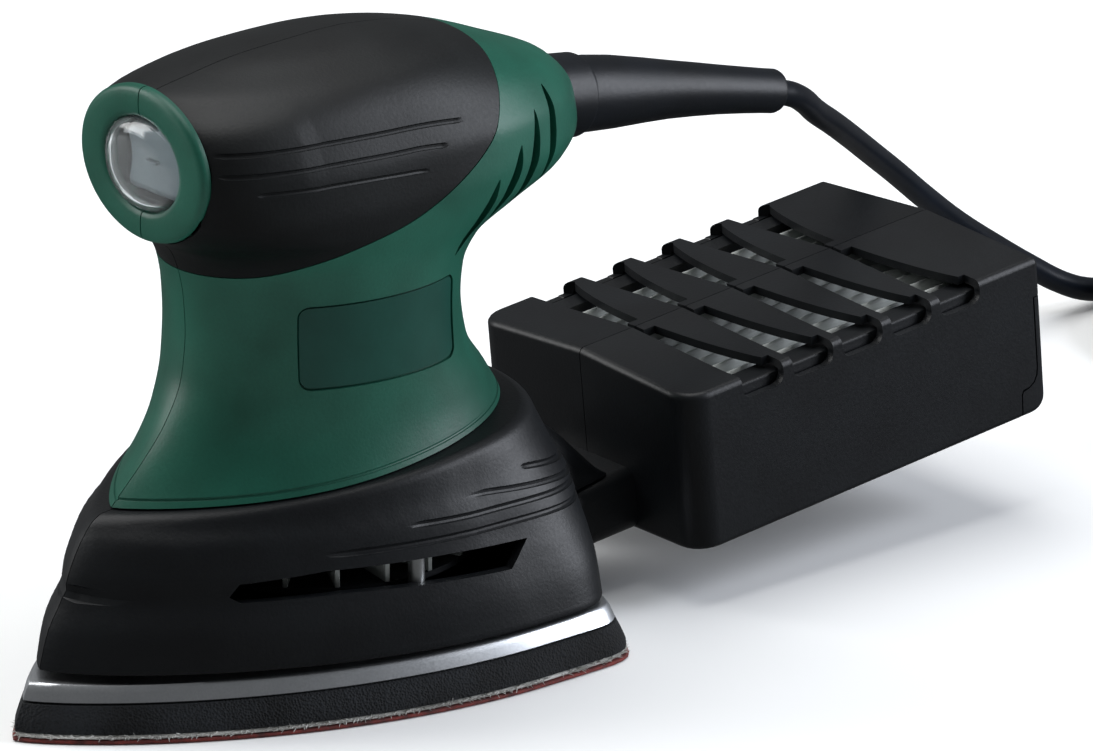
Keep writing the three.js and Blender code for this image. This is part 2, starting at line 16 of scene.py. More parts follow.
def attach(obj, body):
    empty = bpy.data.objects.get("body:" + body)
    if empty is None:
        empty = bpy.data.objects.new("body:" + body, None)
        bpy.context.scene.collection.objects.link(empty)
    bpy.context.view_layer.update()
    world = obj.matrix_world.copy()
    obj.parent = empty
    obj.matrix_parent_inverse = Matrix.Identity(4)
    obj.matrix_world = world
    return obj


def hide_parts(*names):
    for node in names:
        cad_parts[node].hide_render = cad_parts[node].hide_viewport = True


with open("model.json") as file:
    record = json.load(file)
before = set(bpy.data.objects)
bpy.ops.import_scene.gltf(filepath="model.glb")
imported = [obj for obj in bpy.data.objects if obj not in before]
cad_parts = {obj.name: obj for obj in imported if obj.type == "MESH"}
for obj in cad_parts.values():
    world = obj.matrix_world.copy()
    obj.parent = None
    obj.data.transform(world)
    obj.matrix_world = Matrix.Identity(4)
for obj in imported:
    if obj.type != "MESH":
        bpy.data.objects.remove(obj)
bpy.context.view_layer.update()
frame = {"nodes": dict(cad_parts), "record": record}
scene = bpy.context.scene
random.seed(11)

MM = 0.001
SEAM = 0.12          # half of the parting gap between left and right mouldings
HEM_Z, HEM_SLOPE = 55.2, 0.1     # the slanted line where the green housing meets the black skirt
SIDES = ((1, "left"), (-1, "right"))


# ---- camera
def aim_camera(azimuth, elevation, distance, target, lens):
    a, e = radians(azimuth), radians(elevation)
    away = Vector((sin(a) * cos(e), -cos(a) * cos(e), sin(e)))
    camera = bpy.data.objects.new("camera", bpy.data.cameras.new("camera"))
    camera.data.lens, camera.data.sensor_width = lens, 36
    camera.data.clip_start, camera.data.clip_end = 0.05, 20
    camera.location = Vector(target) + away * distance
    camera.rotation_euler = away.to_track_quat("Z", "Y").to_euler()
    scene.collection.objects.link(camera)
    scene.camera = camera


aim_camera(azimuth=50.16, elevation=19.69, distance=1.8829, target=(0, 0.06978, 0.05164), lens=263.55)


# ---- materials
def linear(code):
    """sRGB hex to linear"""
    parts = [int(code[i:i + 2], 16) / 255 for i in (1, 3, 5)]
    return (*[v / 12.92 if v <= 0.04045 else ((v + 0.055) / 1.055) ** 2.4 for v in parts], 1)


def add(tree, kind, inputs=None, **properties):
    """one node: its own properties, then each input as a value or as a link from a socket"""
    node = tree.nodes.new("ShaderNode" + kind)
    for key, value in properties.items():
        setattr(node, key, value)
    for key, value in (inputs or {}).items():
        if isinstance(value, bpy.types.NodeSocket):
            tree.links.new(value, node.inputs[key])
        else:
            node.inputs[key].default_value = value
    return node


SATIN = {"IOR": 1.52, "Specular_IOR_Level": 0.3}
TONES = (0.45, 1.05)     # the range of the mixed noises that runs from the dark tone to the light one
def finish(name, light, dark, rough, grain, bump, stretch=(1, 1, 1), cells=False, patches=20.0,
           **sockets):
    """A two-tone surface. grain is the size of its texture in mm, bump its depth in mm,
    patches the size in mm of the slow change of tone, rough the lowest and highest roughness."""
    material = bpy.data.materials.new(name)
    material.use_nodes = True
    tree = material.node_tree
    shader = tree.nodes["Principled BSDF"]
    place = add(tree, "TexCoord").outputs["Object"]
    fine_place = add(tree, "Mapping", {"Vector": place, "Scale": stretch}).outputs["Vector"]
    texture = {"Vector": fine_place, "Scale": 1 / (grain * MM)}
    if cells:            # cut cells or grains with hard borders
        fine = add(tree, "TexVoronoi", texture).outputs["Distance"]
    else:
        fine = add(tree, "TexNoise", {**texture, "Detail": 3.0}).outputs["Fac"]
    slow = add(tree, "TexNoise", {"Vector": place, "Scale": 1 / (patches * MM), "Detail": 2.0}).outputs["Fac"]
    both = add(tree, "Math", {0: fine, 1: slow}, operation="MULTIPLY_ADD").outputs[0]
    tree.links.new(slow, both.node.inputs[2])
    share = add(tree, "MapRange", {"Value": both, "From Min": TONES[0], "From Max": TONES[1]}).outputs[0]
    colour = add(tree, "Mix", {0: share, 6: linear(dark), 7: linear(light)}, data_type="RGBA").outputs[2]
    tree.links.new(colour, shader.inputs["Base Color"])
    spread = add(tree, "MapRange", {"Value": fine, "To Min": rough[0], "To Max": rough[1]}).outputs[0]
    tree.links.new(spread, shader.inputs["Roughness"])
    relief = add(tree, "Bump", {"Height": fine, "Distance": bump * MM, "Strength": 1.0}).outputs["Normal"]
    tree.links.new(relief, shader.inputs["Normal"])
    for key, value in sockets.items():
        shader.inputs[key.replace("_", " ")].default_value = value
    return material


FINISH = {
    # glass-filled nylon, spark-eroded mould: a fine even grain that breaks the highlight up softly
    "green_nylon": finish("green glass-filled nylon", "#1a5646", "#15483a", (0.34, 0.48), 0.7, 0.03,
        **SATIN),
    # thermoplastic elastomer moulded over the nylon: matt, with a dusty sheen
    "soft_grip": finish("overmoulded elastomer grip", "#121516", "#0c0e0f", (0.42, 0.56), 0.8, 0.04,
        IOR=1.5, Specular_IOR_Level=0.28),
    # black nylon from a sparked mould: satin, faintly blue in the light
    "black_nylon": finish("black glass-filled nylon", "#101316", "#0b0d10", (0.36, 0.5), 0.7, 0.04,
        **SATIN),
    # clear soft boot, cast: glossy, slightly cloudy
    "clear_silicone": finish("clear silicone boot", "#f1f5f6", "#e4eaec", (0.04, 0.1), 2.0, 0.01,
        Transmission_Weight=0.96, IOR=1.41),
    # plain film let into the flank: darker and smoother than the nylon round it
    "inlay_film": finish("dark green film", "#10443a", "#0d3a31", (0.26, 0.34), 1.2, 0.008, IOR=1.5),
    # satin moulded rocker under the boot
    "switch_nylon": finish("grey rocker nylon", "#8d989e", "#78838a", (0.3, 0.42), 0.8, 0.01, IOR=1.52),
    # diecast aluminium, tumbled: bright and satin, with a very fine sparkle
    "bright_aluminium": finish("tumbled cast aluminium", "#dfe2e5", "#c9cdd1", (0.3, 0.44), 0.5, 0.012,
        Metallic=1.0),
    # closed-cell foam cut with a blade: open cut cells 0.6 mm across, very matt
    "foam": finish("cut closed-cell foam", "#1e2125", "#08090a", (0.8, 1.0), 0.6, 0.25, cells=True, IOR=1.45),
    # white hook fibre: a felt of short stiff filaments
    "hook_fibre": finish("white hook fibre", "#dededa", "#a3a39e", (0.75, 0.95), 0.35, 0.12,
        Sheen_Weight=0.3, IOR=1.5),
    # red aluminium-oxide grit, about P120, drawn coarse enough to show
    "abrasive": finish("red bonded grit", "#7a2a24", "#3e1210", (0.7, 1.0), 0.35, 0.12, cells=True,
        patches=3.0, IOR=1.6),
    # soft PVC: smooth, blue-black, glossy
    "cord_rubber": finish("smooth cord sheath", "#10151d", "#0b0f15", (0.28, 0.38), 3.0, 0.02,
        **SATIN),
    # moulded rubber: satin black
    "rubber": finish("moulded rubber", "#10141a", "#0b0e12", (0.36, 0.48), 0.9, 0.03,
        **SATIN),
    # pleated filter paper: matt, its fibres lie along the folds
    "filter_paper": finish("pleated filter paper", "#c2c6c4", "#969b99", (0.85, 1.0), 0.5, 0.05,
        stretch=(1, 0.12, 1), IOR=1.45),
    # natural glass-filled nylon: milky grey, satin
    "fan_nylon": finish("natural fan nylon", "#9da29f", "#7f8481", (0.35, 0.5), 0.8, 0.01, IOR=1.52),
    # ground bearing steel: bright, with fine level scratches
    "bearing_steel": finish("ground steel", "#c6c8ca", "#aeb1b4", (0.18, 0.32), 0.3, 0.005,
        stretch=(1, 1, 6), Metallic=1.0),
    # sintered iron weight: dull grey with pores
    "cast_weight": finish("sintered iron", "#6b6c6e", "#505153", (0.45, 0.65), 0.5, 0.03, cells=True,
        Metallic=0.9),
    # stacked 0.5 mm laminations: fine horizontal lines
    "iron_sheet": finish("stacked laminations", "#6f7275", "#3f4143", (0.35, 0.6), 0.5, 0.05,
        stretch=(0.02, 0.02, 1), Metallic=0.9),
    # enamelled copper wire 0.4 mm thick: glossy red-brown lines laid round the core
    "copper_wire": finish("enamelled copper wire", "#b56a35", "#7d4020", (0.25, 0.45), 0.4, 0.1,
        stretch=(0.05, 0.05, 1), Metallic=1.0),
    # pressed carbon brush: matt dark grey
    "carbon": finish("pressed carbon", "#2b2b2c", "#1d1d1e", (0.6, 0.8), 0.5, 0.02, IOR=1.6),
    # stamped brass holder: warm and bright, a little dulled
    "brass": finish("stamped brass", "#c9a75c", "#a98843", (0.25, 0.4), 0.6, 0.01, Metallic=1.0),
    # nickel plate on a turned pin: smooth and mirror-like
    "plated_pin": finish("nickel-plated pin", "#d8d8d4", "#c3c3bf", (0.14, 0.24), 1.5, 0.004, Metallic=1.0),
    # bright zinc plate: pale grey, satin
    "zinc_screw": finish("zinc-plated screw", "#dddfdf", "#c6c9c9", (0.28, 0.42), 0.6, 0.01, Metallic=1.0),
}


# ---- modelling helpers (mm)
def ring_edges(verts):
    inside = set(verts)
    return [e for e in {e for v in verts for e in v.link_edges} if set(e.verts) <= inside]


def loop_of(bm, points):
    """one closed ring of vertices, moved from a circle onto points"""
    verts = bmesh.ops.create_circle(bm, segments=len(points), radius=1)["verts"]
    for vert, point in zip(verts, points):
        vert.co = point
    return verts, ring_edges(verts)


def lofted(rings, closed=False):
    """a closed solid through rings of equal count; closed joins the last ring to the first"""
    bm = bmesh.new()
    loops = [loop_of(bm, ring) for ring in rings]
    pairs = list(zip(loops, loops[1:])) + ([(loops[-1], loops[0])] if closed else [])
    for (_, low), (_, high) in pairs:
        bmesh.ops.bridge_loops(bm, edges=low + high)
    if not closed:
        for verts, _ in (loops[0], loops[-1]):
            bmesh.ops.contextual_create(bm, geom=verts)
    bmesh.ops.recalc_face_normals(bm, faces=bm.faces)
    return bm


def turned(profile, axis=(0, 0, 1), centre=(0, 0, 0), steps=48):
    """a profile of (radius, height) turned about an axis through centre"""
    bm = bmesh.new()
    up = Vector((0, 0, 1))
    verts = [bm.verts.new((r, 0, z)) for r, z in profile]
    edges = [bm.edges.new(pair) for pair in zip(verts, verts[1:])]
    bmesh.ops.spin(bm, geom=verts + edges, cent=(0, 0, 0), axis=up, angle=2 * pi, steps=steps,
                   use_merge=True)
    bmesh.ops.remove_doubles(bm, verts=bm.verts, dist=0.0005)
    bmesh.ops.recalc_face_normals(bm, faces=bm.faces)
    tip = up.rotation_difference(Vector(axis)).to_matrix().to_4x4()
    bm.transform(Matrix.Translation(centre) @ tip)
    return bm


def block(low, high, bevel=0.0, segments=3, keep=None):
    """a box between two corners with rounded edges; keep picks the edges to round"""
    bm = bmesh.new()
    bmesh.ops.create_cube(bm, size=1)
    size = Vector(high) - Vector(low)
    bmesh.ops.scale(bm, vec=size, verts=bm.verts)
    bmesh.ops.translate(bm, vec=(Vector(low) + Vector(high)) / 2, verts=bm.verts)
    if bevel:
        round_edges(bm, keep or (lambda e: True), bevel, segments)
    return bm


def round_edges(bm, chosen, offset, segments=3):
    bmesh.ops.bevel(bm, geom=[e for e in bm.edges if chosen(e)], offset=offset, segments=segments,
                    profile=0.5, affect="EDGES", material=-1, clamp_overlap=True)


def along(edge, axis):
    """whether an edge runs along an axis"""
    way = edge.verts[1].co - edge.verts[0].co
    return abs(way[axis]) > 0.99 * way.length


def middle(edge):
    return (edge.verts[0].co + edge.verts[1].co) / 2


def drawn(outline, axis, start, end):
    """an outline drawn square to an axis, as a solid from start to end along it"""
    bm = bmesh.new()
    verts = []
    for a, b in outline:
        point = [a, b]
        point.insert(axis, start)
        verts.append(bm.verts.new(point))
    edges = [bm.edges.new(pair) for pair in zip(verts, verts[1:] + verts[:1])]
    face = bmesh.ops.contextual_create(bm, geom=edges)["faces"]
    made = bmesh.ops.extrude_face_region(bm, geom=face)["geom"]
    push = Vector((0, 0, 0))
    push[axis] = end - start
    bmesh.ops.translate(bm, vec=push, verts=[g for g in made if isinstance(g, bmesh.types.BMVert)])
    bmesh.ops.recalc_face_normals(bm, faces=bm.faces)
    return bm


def oval(rx, rz, y, mid, count=72, power=2.0):
    """an oval ring in a plane square to Y"""
    points = []
    for k in range(count):
        c, s = cos(2 * pi * k / count), sin(2 * pi * k / count)
        points.append((rx * abs(c) ** (2 / power) * (1 if c > 0 else -1), y,
                       mid + rz * abs(s) ** (2 / power) * (1 if s > 0 else -1)))
    return points


def smooth_line(points, steps=6):
    """a smooth line through points, with steps parts between each two"""
    points = [Vector(p) for p in points]
    ends = [points[0] * 2 - points[1], *points, points[-1] * 2 - points[-2]]
    line = []
    for a, b, c, d in zip(ends, ends[1:], ends[2:], ends[3:]):
        for k in range(steps):
            t = k / steps
            line.append(0.5 * ((2 * b) + (c - a) * t + (2 * a - 5 * b + 4 * c - d) * t ** 2
                               + (3 * b - a - 3 * c + d) * t ** 3))
    return line + [points[-1]]


def swept(line, radius, sides=12):
    """a round bar along a line; radius is a number or a list with one for each point"""
    radii = radius if isinstance(radius, list) else [radius] * len(line)
    bm = bmesh.new()
    up = Vector((0, 0, 1))
    loops = []
    turn = None
    for k, (point, r) in enumerate(zip(line, radii)):
        way = (line[min(k + 1, len(line) - 1)] - line[max(k - 1, 0)]).normalized()
        turn = up.rotation_difference(way) if turn is None else (turn @ up).rotation_difference(way) @ turn
        where = Matrix.Translation(point) @ turn.to_matrix().to_4x4()
        verts = bmesh.ops.create_circle(bm, segments=sides, radius=r, matrix=where)["verts"]
        loops.append((verts, ring_edges(verts)))
    for (_, low), (_, high) in zip(loops, loops[1:]):
        bmesh.ops.bridge_loops(bm, edges=low + high)
    for verts, _ in (loops[0], loops[-1]):
        bmesh.ops.contextual_create(bm, geom=verts)
    bmesh.ops.recalc_face_normals(bm, faces=bm.faces)
    return bm


def as_object(bm, name):
    mesh = bpy.data.meshes.new(name)
    bm.to_mesh(mesh)
    bm.free()
    obj = bpy.data.objects.new(name, mesh)
    scene.collection.objects.link(obj)
    return obj


def carve(body, *steps):
    """joins to or cuts from a closed bmesh; each step is (operation, tool)"""
    base = as_object(body, "work")
    tools = []
    for operation, tool in steps:
        tools.append(as_object(tool, "tool"))
        change = base.modifiers.new("carve", "BOOLEAN")
        change.solver, change.operation, change.object = "MANIFOLD", operation, tools[-1]
    graph = bpy.context.evaluated_depsgraph_get()
    mesh = bpy.data.meshes.new_from_object(base.evaluated_get(graph))
    result = bmesh.new()
    result.from_mesh(mesh)
    bpy.data.meshes.remove(mesh)
    for obj in (base, *tools):
        data = obj.data
        bpy.data.objects.remove(obj)
        bpy.data.meshes.remove(data)
    return result


def cut(body, *tools):
    """a closed bmesh less the tools"""
    return carve(body, *[("DIFFERENCE", tool) for tool in tools])


REACH = 400              # past the end of every piece
def halves(bm, gap=SEAM):
    """the +X and -X halves of a closed solid, closed again at the parting line"""
    left = carve(bm.copy(), ("INTERSECT", block((gap, -REACH, -REACH), (REACH, REACH, REACH))))
    right = carve(bm, ("INTERSECT", block((-REACH, -REACH, -REACH), (-gap, REACH, REACH))))
    return left, right


WELD = 0.004             # points nearer than this are one
def piece(name, bm, slot, body, *nodes, crisp=32, film=None):
    """A finished piece: in metres, smooth, with edges sharper than crisp degrees kept.
    nodes are the CAD nodes it replaces; film is a finish that it shows instead of its slot's."""
    bmesh.ops.remove_doubles(bm, verts=bm.verts, dist=WELD)
    bm.transform(Matrix.Scale(MM, 4))
    obj = as_object(bm, name)
    obj.data.polygons.foreach_set("use_smooth", [True] * len(obj.data.polygons))
    obj.data.set_sharp_from_angle(angle=radians(crisp))
    obj.data.materials.append(FINISH[film or slot])
    shading = obj.modifiers.new("even shading", "WEIGHTED_NORMAL")
    shading.keep_sharp, shading.weight = True, 70
    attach(obj, body)
    if nodes:
        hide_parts(*nodes)
    return obj


def both_halves(name, bm, slot, body, node=None, gap=SEAM, place=Matrix()):
    """the left and right mouldings of a solid, each a piece, moved by place when they are cut"""
    for half, (_, side) in zip(halves(bm, gap), SIDES):
        half.transform(place)
        piece(f"{name}_{side}", half, slot, body, *([f"{node}_{side}"] if node else []))


# ---- cord and coil (first, with the camera)
CORD_R = 3.1
SLEEVE_END = Vector((0, 140.7, 107.4))
CORD_ROUTE = [(0, 140.9, 107.2), (-1.5, 147, 105), (-5.5, 154.5, 101), (-12, 164.2, 94.7),
              (-20, 177.4, 86.8), (-28, 190.6, 78.6), (-36, 205, 69.2), (-43, 219.5, 59.4),
              (-49.5, 235.8, 47.6), (-55, 252, 36.2), (-59, 268, 25.8), (-61, 283, 16.2),
              (-61.4, 296, 8.4), (-61.4, 304.5, 4.9), (-61.4, 313, 3.2), (-61.4, 323, 3.1)]
COIL = {"x": -12, "y": 335, "inner": 24.6, "outer": 49.4, "turns": 4, "pitch": 6.2}
PLUG_AT = Vector((37.4, 303, 10.2))


def coil_points():
    """half a turn at the outside, four turns in along the floor, half a turn up at the inside,
    four turns out on top, half a turn at the outside"""
    around = 14          # points to a turn
    low, high = CORD_R, CORD_R + COIL["pitch"]
    inner, outer, full = COIL["inner"], COIL["outer"], COIL["turns"]
    # turns, radius from and to, height from and to
    plan = [(0.5, outer, outer, low, low), (full, outer, inner, low, low), (0.5, inner, inner, low, high),
            (full, inner, outer, high, high), (0.5, outer, outer, high, high)]
    points, turned_by = [], 0.0
    for turns, r0, r1, z0, z1 in plan:
        steps = round(turns * around)
        for k in range(steps):
            t = k / steps
            angle = pi - 2 * pi * (turned_by + turns * t)
            r, z = r0 + (r1 - r0) * t, z0 + (z1 - z0) * (3 * t * t - 2 * t ** 3)
            points.append((COIL["x"] + r * cos(angle), COIL["y"] + r * sin(angle), z))
        turned_by += turns
    points.append((COIL["x"] + outer, COIL["y"], high))
    return points


def make_cord():
    to_plug = [(PLUG_AT.x, 325, 9.3), (PLUG_AT.x, 314, 9.5), tuple(PLUG_AT)]
    points = CORD_ROUTE + coil_points() + to_plug
    curve = bpy.data.curves.new("cord", "CURVE")
    curve.dimensions, curve.bevel_depth, curve.bevel_resolution = "3D", CORD_R * MM, 6
    curve.resolution_u, curve.use_fill_caps = 4, True
    spline = curve.splines.new("BEZIER")
    spline.bezier_points.add(len(points) - 1)
    for knot, point in zip(spline.bezier_points, points):
        knot.co = Vector(point) * MM
        knot.handle_left_type = knot.handle_right_type = "AUTO"
    obj = bpy.data.objects.new("mains_cord", curve)
    scene.collection.objects.link(obj)
    obj.data.materials.append(FINISH["cord_rubber"])
    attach(obj, "housing")
    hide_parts("cord", "cord_coil", "cord_tail")
    return obj, Vector(points[0]) * MM


cord, cord_exit = make_cord()


def make_tie():
    """a flat strap over the coil, with its end tucked under itself"""
    x, mid = COIL["x"], COIL["y"] + (COIL["inner"] + COIL["outer"]) / 2
    half, tall, thick = (COIL["outer"] - COIL["inner"]) / 2 + CORD_R, 4 * CORD_R, 1.3

    def is_upper(edge):
        return along(edge, 0) and middle(edge).z > 5

    strap = block((x - 5, mid - half - thick, 0), (x + 5, mid + half + thick, tall + thick), 2.6, 5, is_upper)
    hole = block((x - 7, mid - half - 0.2, -3), (x + 7, mid + half + 0.2, tall + 0.2), 1.8, 5, is_upper)
    end = block((x - 4, mid - 9, tall + 1.0), (x + 4, mid + 6, tall + thick + 1.0), 0.5)
    strap = carve(strap, ("DIFFERENCE", hole), ("UNION", end))
    return piece("coil_strap", strap, "rubber", "housing", "coil_tie")


def make_plug():
    """a flat moulded plug with a ribbed neck, and its two pins"""
    # place along the plug, half width, half height, squareness
    shape = [(0, 4.4, 4.4, 2), (-0.6, 5.2, 5.2, 2), (-4, 5.4, 5.3, 2), (-4.6, 4.5, 4.5, 2),
             (-5.6, 4.5, 4.5, 2), (-6.2, 6, 5.6, 2), (-8.6, 6.6, 6, 2), (-9.2, 5.4, 5.2, 2),
             (-10.2, 5.6, 5.4, 2), (-10.8, 8.5, 6.8, 2.2), (-13, 12.4, 8, 2.6), (-17, 14.6, 9, 3),
             (-24, 16, 9.7, 3.4), (-30, 16.2, 9.9, 3.6), (-34, 15.6, 9.6, 3.6), (-36.6, 14.8, 9, 3.6),
             (-37.7, 13.8, 8, 3.6), (-38, 12.6, 6.8, 3.6)]
    rings = [[Vector(p) + PLUG_AT for p in oval(half, tall, y, 0, 48, power)]
             for y, half, tall, power in shape]
    parts = [piece("plug_moulding", lofted(rings), "rubber", "housing", "plug_body")]
    forward = (0, -1, 0)
    pin_profile = [(0, 0), (2.35, 0), (2.35, 17.6), (1.7, 18.8), (0.9, 19.2), (0, 19.2)]
    for side, place in SIDES:
        at = PLUG_AT + Vector((9.5 * side, -38.1, 0))
        pin = turned(pin_profile, forward, at, 24)
        parts.append(piece(f"plug_pin_bright_{place}", pin, "plated_pin", "housing", f"plug_pin_{place}"))
        sleeve = turned([(0, 0), (2.6, 0), (2.6, 10), (0, 10)], forward, at, 24)
        bore = turned([(0, -1), (2.37, -1), (2.37, 11), (0, 11)], forward, at, 24)
        parts.append(piece(f"plug_pin_sleeve_{place}", cut(sleeve, bore), "rubber", "housing"))
    return parts


on_cord = [make_tie(), *make_plug()]


# ---- body sections
RING = {"x": 13.9, "z": 11.4, "mid": 128.7, "out_x": 22.9, "out_z": 18}
# height, y of nose, y of rear, y of widest, half width, then curve exponents front (length, width), rear
UPPER = [
    [46, -61.6, 51, 2, 36.2, 2.2, 1.2, 2.1, 2.1], [52, -55.6, 49.5, 2, 35.3, 2.2, 1.15, 2.1, 2.1],
    [58, -49.4, 48, 2, 33.2, 2.1, 1.3, 2.1, 2.1], [66, -42.6, 43.4, 2, 31.6, 2, 1.6, 2.1, 2.1],
    [76, -37.8, 36.6, 2, 31, 2, 1.9, 2.1, 2.1], [87, -36.5, 34.6, 2, 30.8, 2, 2, 2.1, 2.1],
    [95, -36.9, 35.8, 2, 30.8, 2, 2, 2.1, 2.1], [102, -38.3, 42.5, 2, 31.2, 2, 2, 2.1, 2],
    [108, -41, 58, 2, 32.4, 2.2, 2.2, 2.2, 1.9], [113, -46, 69.5, 2, 33.6, 2.6, 3, 2.3, 1.9],
    [119, -48, 73, 2, 34.4, 3, 3.8, 2.4, 1.9], [127, -48.3, 71.5, 2, 34.2, 3, 4, 2.4, 1.9],
    [134, -48, 65.5, 2, 32, 3, 3.8, 2.3, 1.9], [140, -47.5, 52, 3, 29, 2.8, 3, 2.2, 2],
    [144.5, -45.5, 40, 4, 24.5, 2.4, 2, 2.1, 2], [147.1, -33.4, 30, 5, 18, 2.2, 2, 2, 2],
    [149.0, -20.2, 21, 6, 11.5, 2, 2, 2, 2], [150.2, 2, 9, 6.5, 1.5, 2, 2, 2, 2],
]
LOWER = [
    [15, -79.4, 56.6, 25, 51, 1.8, 1.3, 5, 2.4], [23.5, -76.8, 57, 22, 49.2, 1.8, 1.35, 5, 2.4],
    [31, -72.5, 57.3, 19, 46.8, 1.8, 1.3, 4.5, 2.4], [37, -70.2, 57.3, 16, 44.6, 1.9, 1.35, 4.2, 2.3],
    [43, -67, 56.5, 13, 42.8, 1.9, 1.35, 4, 2.3], [48, -63, 55, 11, 40.5, 2, 1.2, 3.6, 2.2],
    [56, -55, 52, 8, 38, 2, 1.2, 3.2, 2.2], [66, -45, 48, 6, 34, 2, 1.3, 3, 2.2],
]


def eased(rows, at):
    """the section at a place between rows, without overshoot"""
    k = max(0, min(int(at), len(rows) - 2))
    t = at - k

    def slope(j, column):
        if j == 0:
            return rows[1][column] - rows[0][column]
        before = rows[j][column] - rows[j - 1][column]
        if j == len(rows) - 1:
            return before
        after = rows[j + 1][column] - rows[j][column]
        return 2 * before * after / (before + after) if before * after > 0 else 0

    out = []
    for column in range(len(rows[0])):
        a, b = rows[k][column], rows[k + 1][column]
        m, n = slope(k, column), slope(k + 1, column)
        out.append(a * (2 * t ** 3 - 3 * t ** 2 + 1) + m * (t ** 3 - 2 * t ** 2 + t)
                   + b * (3 * t ** 2 - 2 * t ** 3) + n * (t ** 3 - t ** 2))
    return out


def row_at(rows, z):
    """the section at a height"""
    low, high = 0.0, len(rows) - 1.0
    for _ in range(26):
        mid = (low + high) / 2
        low, high = (mid, high) if eased(rows, mid)[0] < z else (low, mid)
    return eased(rows, low)


# the swelling behind the nose ring: its front, how softly it joins, its most, where it fades out
BROW = {"front": -47.2, "soft": 1.5, "most": 3.0, "top": 145.5, "foot": 106}
def brow(x, y, z, sink):
    """the surface's y, swollen forwards round the nose ring so that the ring sits flush"""
    rx, rz, mid = RING["out_x"], RING["out_z"], RING["mid"]
    out = hypot(x / rx, (z - mid) / rz)
    beyond = max(out - 1, 0) * hypot(x, z - mid) / max(out, 1e-6) + sink
    swell = BROW["front"] + sink * 0.3 + 0.75 * beyond + 0.14 * beyond ** 2
    soft, most = BROW["soft"], BROW["most"]
    push = y + soft * log(exp(-y / soft) + exp(-swell / soft)) if swell < y + 12 else 0
    upper = min(max((BROW["top"] - z) / 7, 0), 1)
    lower = min(max((z - BROW["foot"]) / 6, 0), 1)
    fade = upper * lower
    return y - most * (1 - exp(-push / most)) * fade * fade * (3 - 2 * fade)


def on_section(row, turn, grow=0.0, sink=0.0):
    """a point of a section; turn runs from -90 at the nose through 0 at +X to 90 at the rear"""
    z, nose, rear, widest, half, front_y, front_x, rear_y, rear_x = row
    s, c = sin(radians(turn)), cos(radians(turn))
    is_front = s < 0
    reach = (widest - nose if is_front else rear - widest) + grow
    power_y, power_x = (front_y, front_x) if is_front else (rear_y, rear_x)
    x = (half + grow) * (1 if c > 0 else -1) * abs(c) ** (2 / power_x)
    y = widest + reach * (1 if s > 0 else -1) * abs(s) ** (2 / power_y)
    near_ring = z > 104 and y < -22
    return Vector((x, brow(x, y, z, sink) if near_ring else y, z))


def spaced_turns(row, count):
    """turns that put points of a section evenly round it"""
    fine = [on_section(row, -90 + 0.5 * k) for k in range(721)]
    run = [0.0]
    for a, b in zip(fine, fine[1:]):
        run.append(run[-1] + (b - a).length)
    turns, k = [], 0
    for j in range(count):
        want = run[-1] * j / count
        while run[k + 1] < want:
            k += 1
        turns.append(-90 + 0.5 * (k + (want - run[k]) / max(run[k + 1] - run[k], 1e-9)))
    return turns


def skin(rows, by=0.0, steps=5, count=128):
    """the body surface made smaller by by all round, as a closed solid"""
    crown, run = rows[-1][0], 22
    rings = []
    total = (len(rows) - 1) * steps
    for k in range(total + 1):
        row = eased(rows, k / steps)
        z, nose, rear, widest, half = row[:5]
        up = min(max((z - crown + run) / run, 0), 1)
        drop = by * up * up * (3 - 2 * up) if crown > 100 else 0
        row = [z - drop, nose + by, max(rear - by, widest + 1), widest, max(half - by, 1), *row[5:]]
        rings.append([on_section(row, t, 0, by) for t in spaced_turns(row, count)])
    return lofted(rings)


def turn_at(rows, y, z):
    """the turn on the +X side of the surface that has this y at this height"""
    low, high = -90.0, 90.0
    row = row_at(rows, z)
    for _ in range(26):
        mid = (low + high) / 2
        low, high = (mid, high) if on_section(row, mid).y < y else (low, mid)
    return low


def outward(rows, turn, z):
    a = on_section(row_at(rows, z), turn + 0.4) - on_section(row_at(rows, z), turn - 0.4)
    b = on_section(row_at(rows, z + 0.4), turn) - on_section(row_at(rows, z - 0.4), turn)
    return a.cross(b).normalized()


def groove(rows, stops, radius, depth, fade=0.06, steps=10, side=1):
    """a round-bottomed cutter along the surface; stops are (turn, z); it runs out at its ends"""
    line = smooth_line([(t, z, 0) for t, z in stops], steps)
    centres = []
    for k, p in enumerate(line):
        share = k / (len(line) - 1)
        run_out = min(1, share / fade, (1 - share) / fade) if fade else 1
        surface, away = on_section(row_at(rows, p.y), p.x), outward(rows, p.x, p.y)
        centre = surface + away * (radius - depth * run_out)
        centres.append(Vector((centre.x * side, centre.y, centre.z)))
    return swept(centres, radius, 10)


def hem_z(y, lift=0.0):
    return HEM_Z + HEM_SLOPE * y + lift


def hem_band(low, high):
    """the slab between two heights above the slanted line"""
    corners = [(-150, low), (150, low), (150, high), (-150, high)]
    return drawn([(y, hem_z(y, lift)) for y, lift in corners], 0, -90, 90)


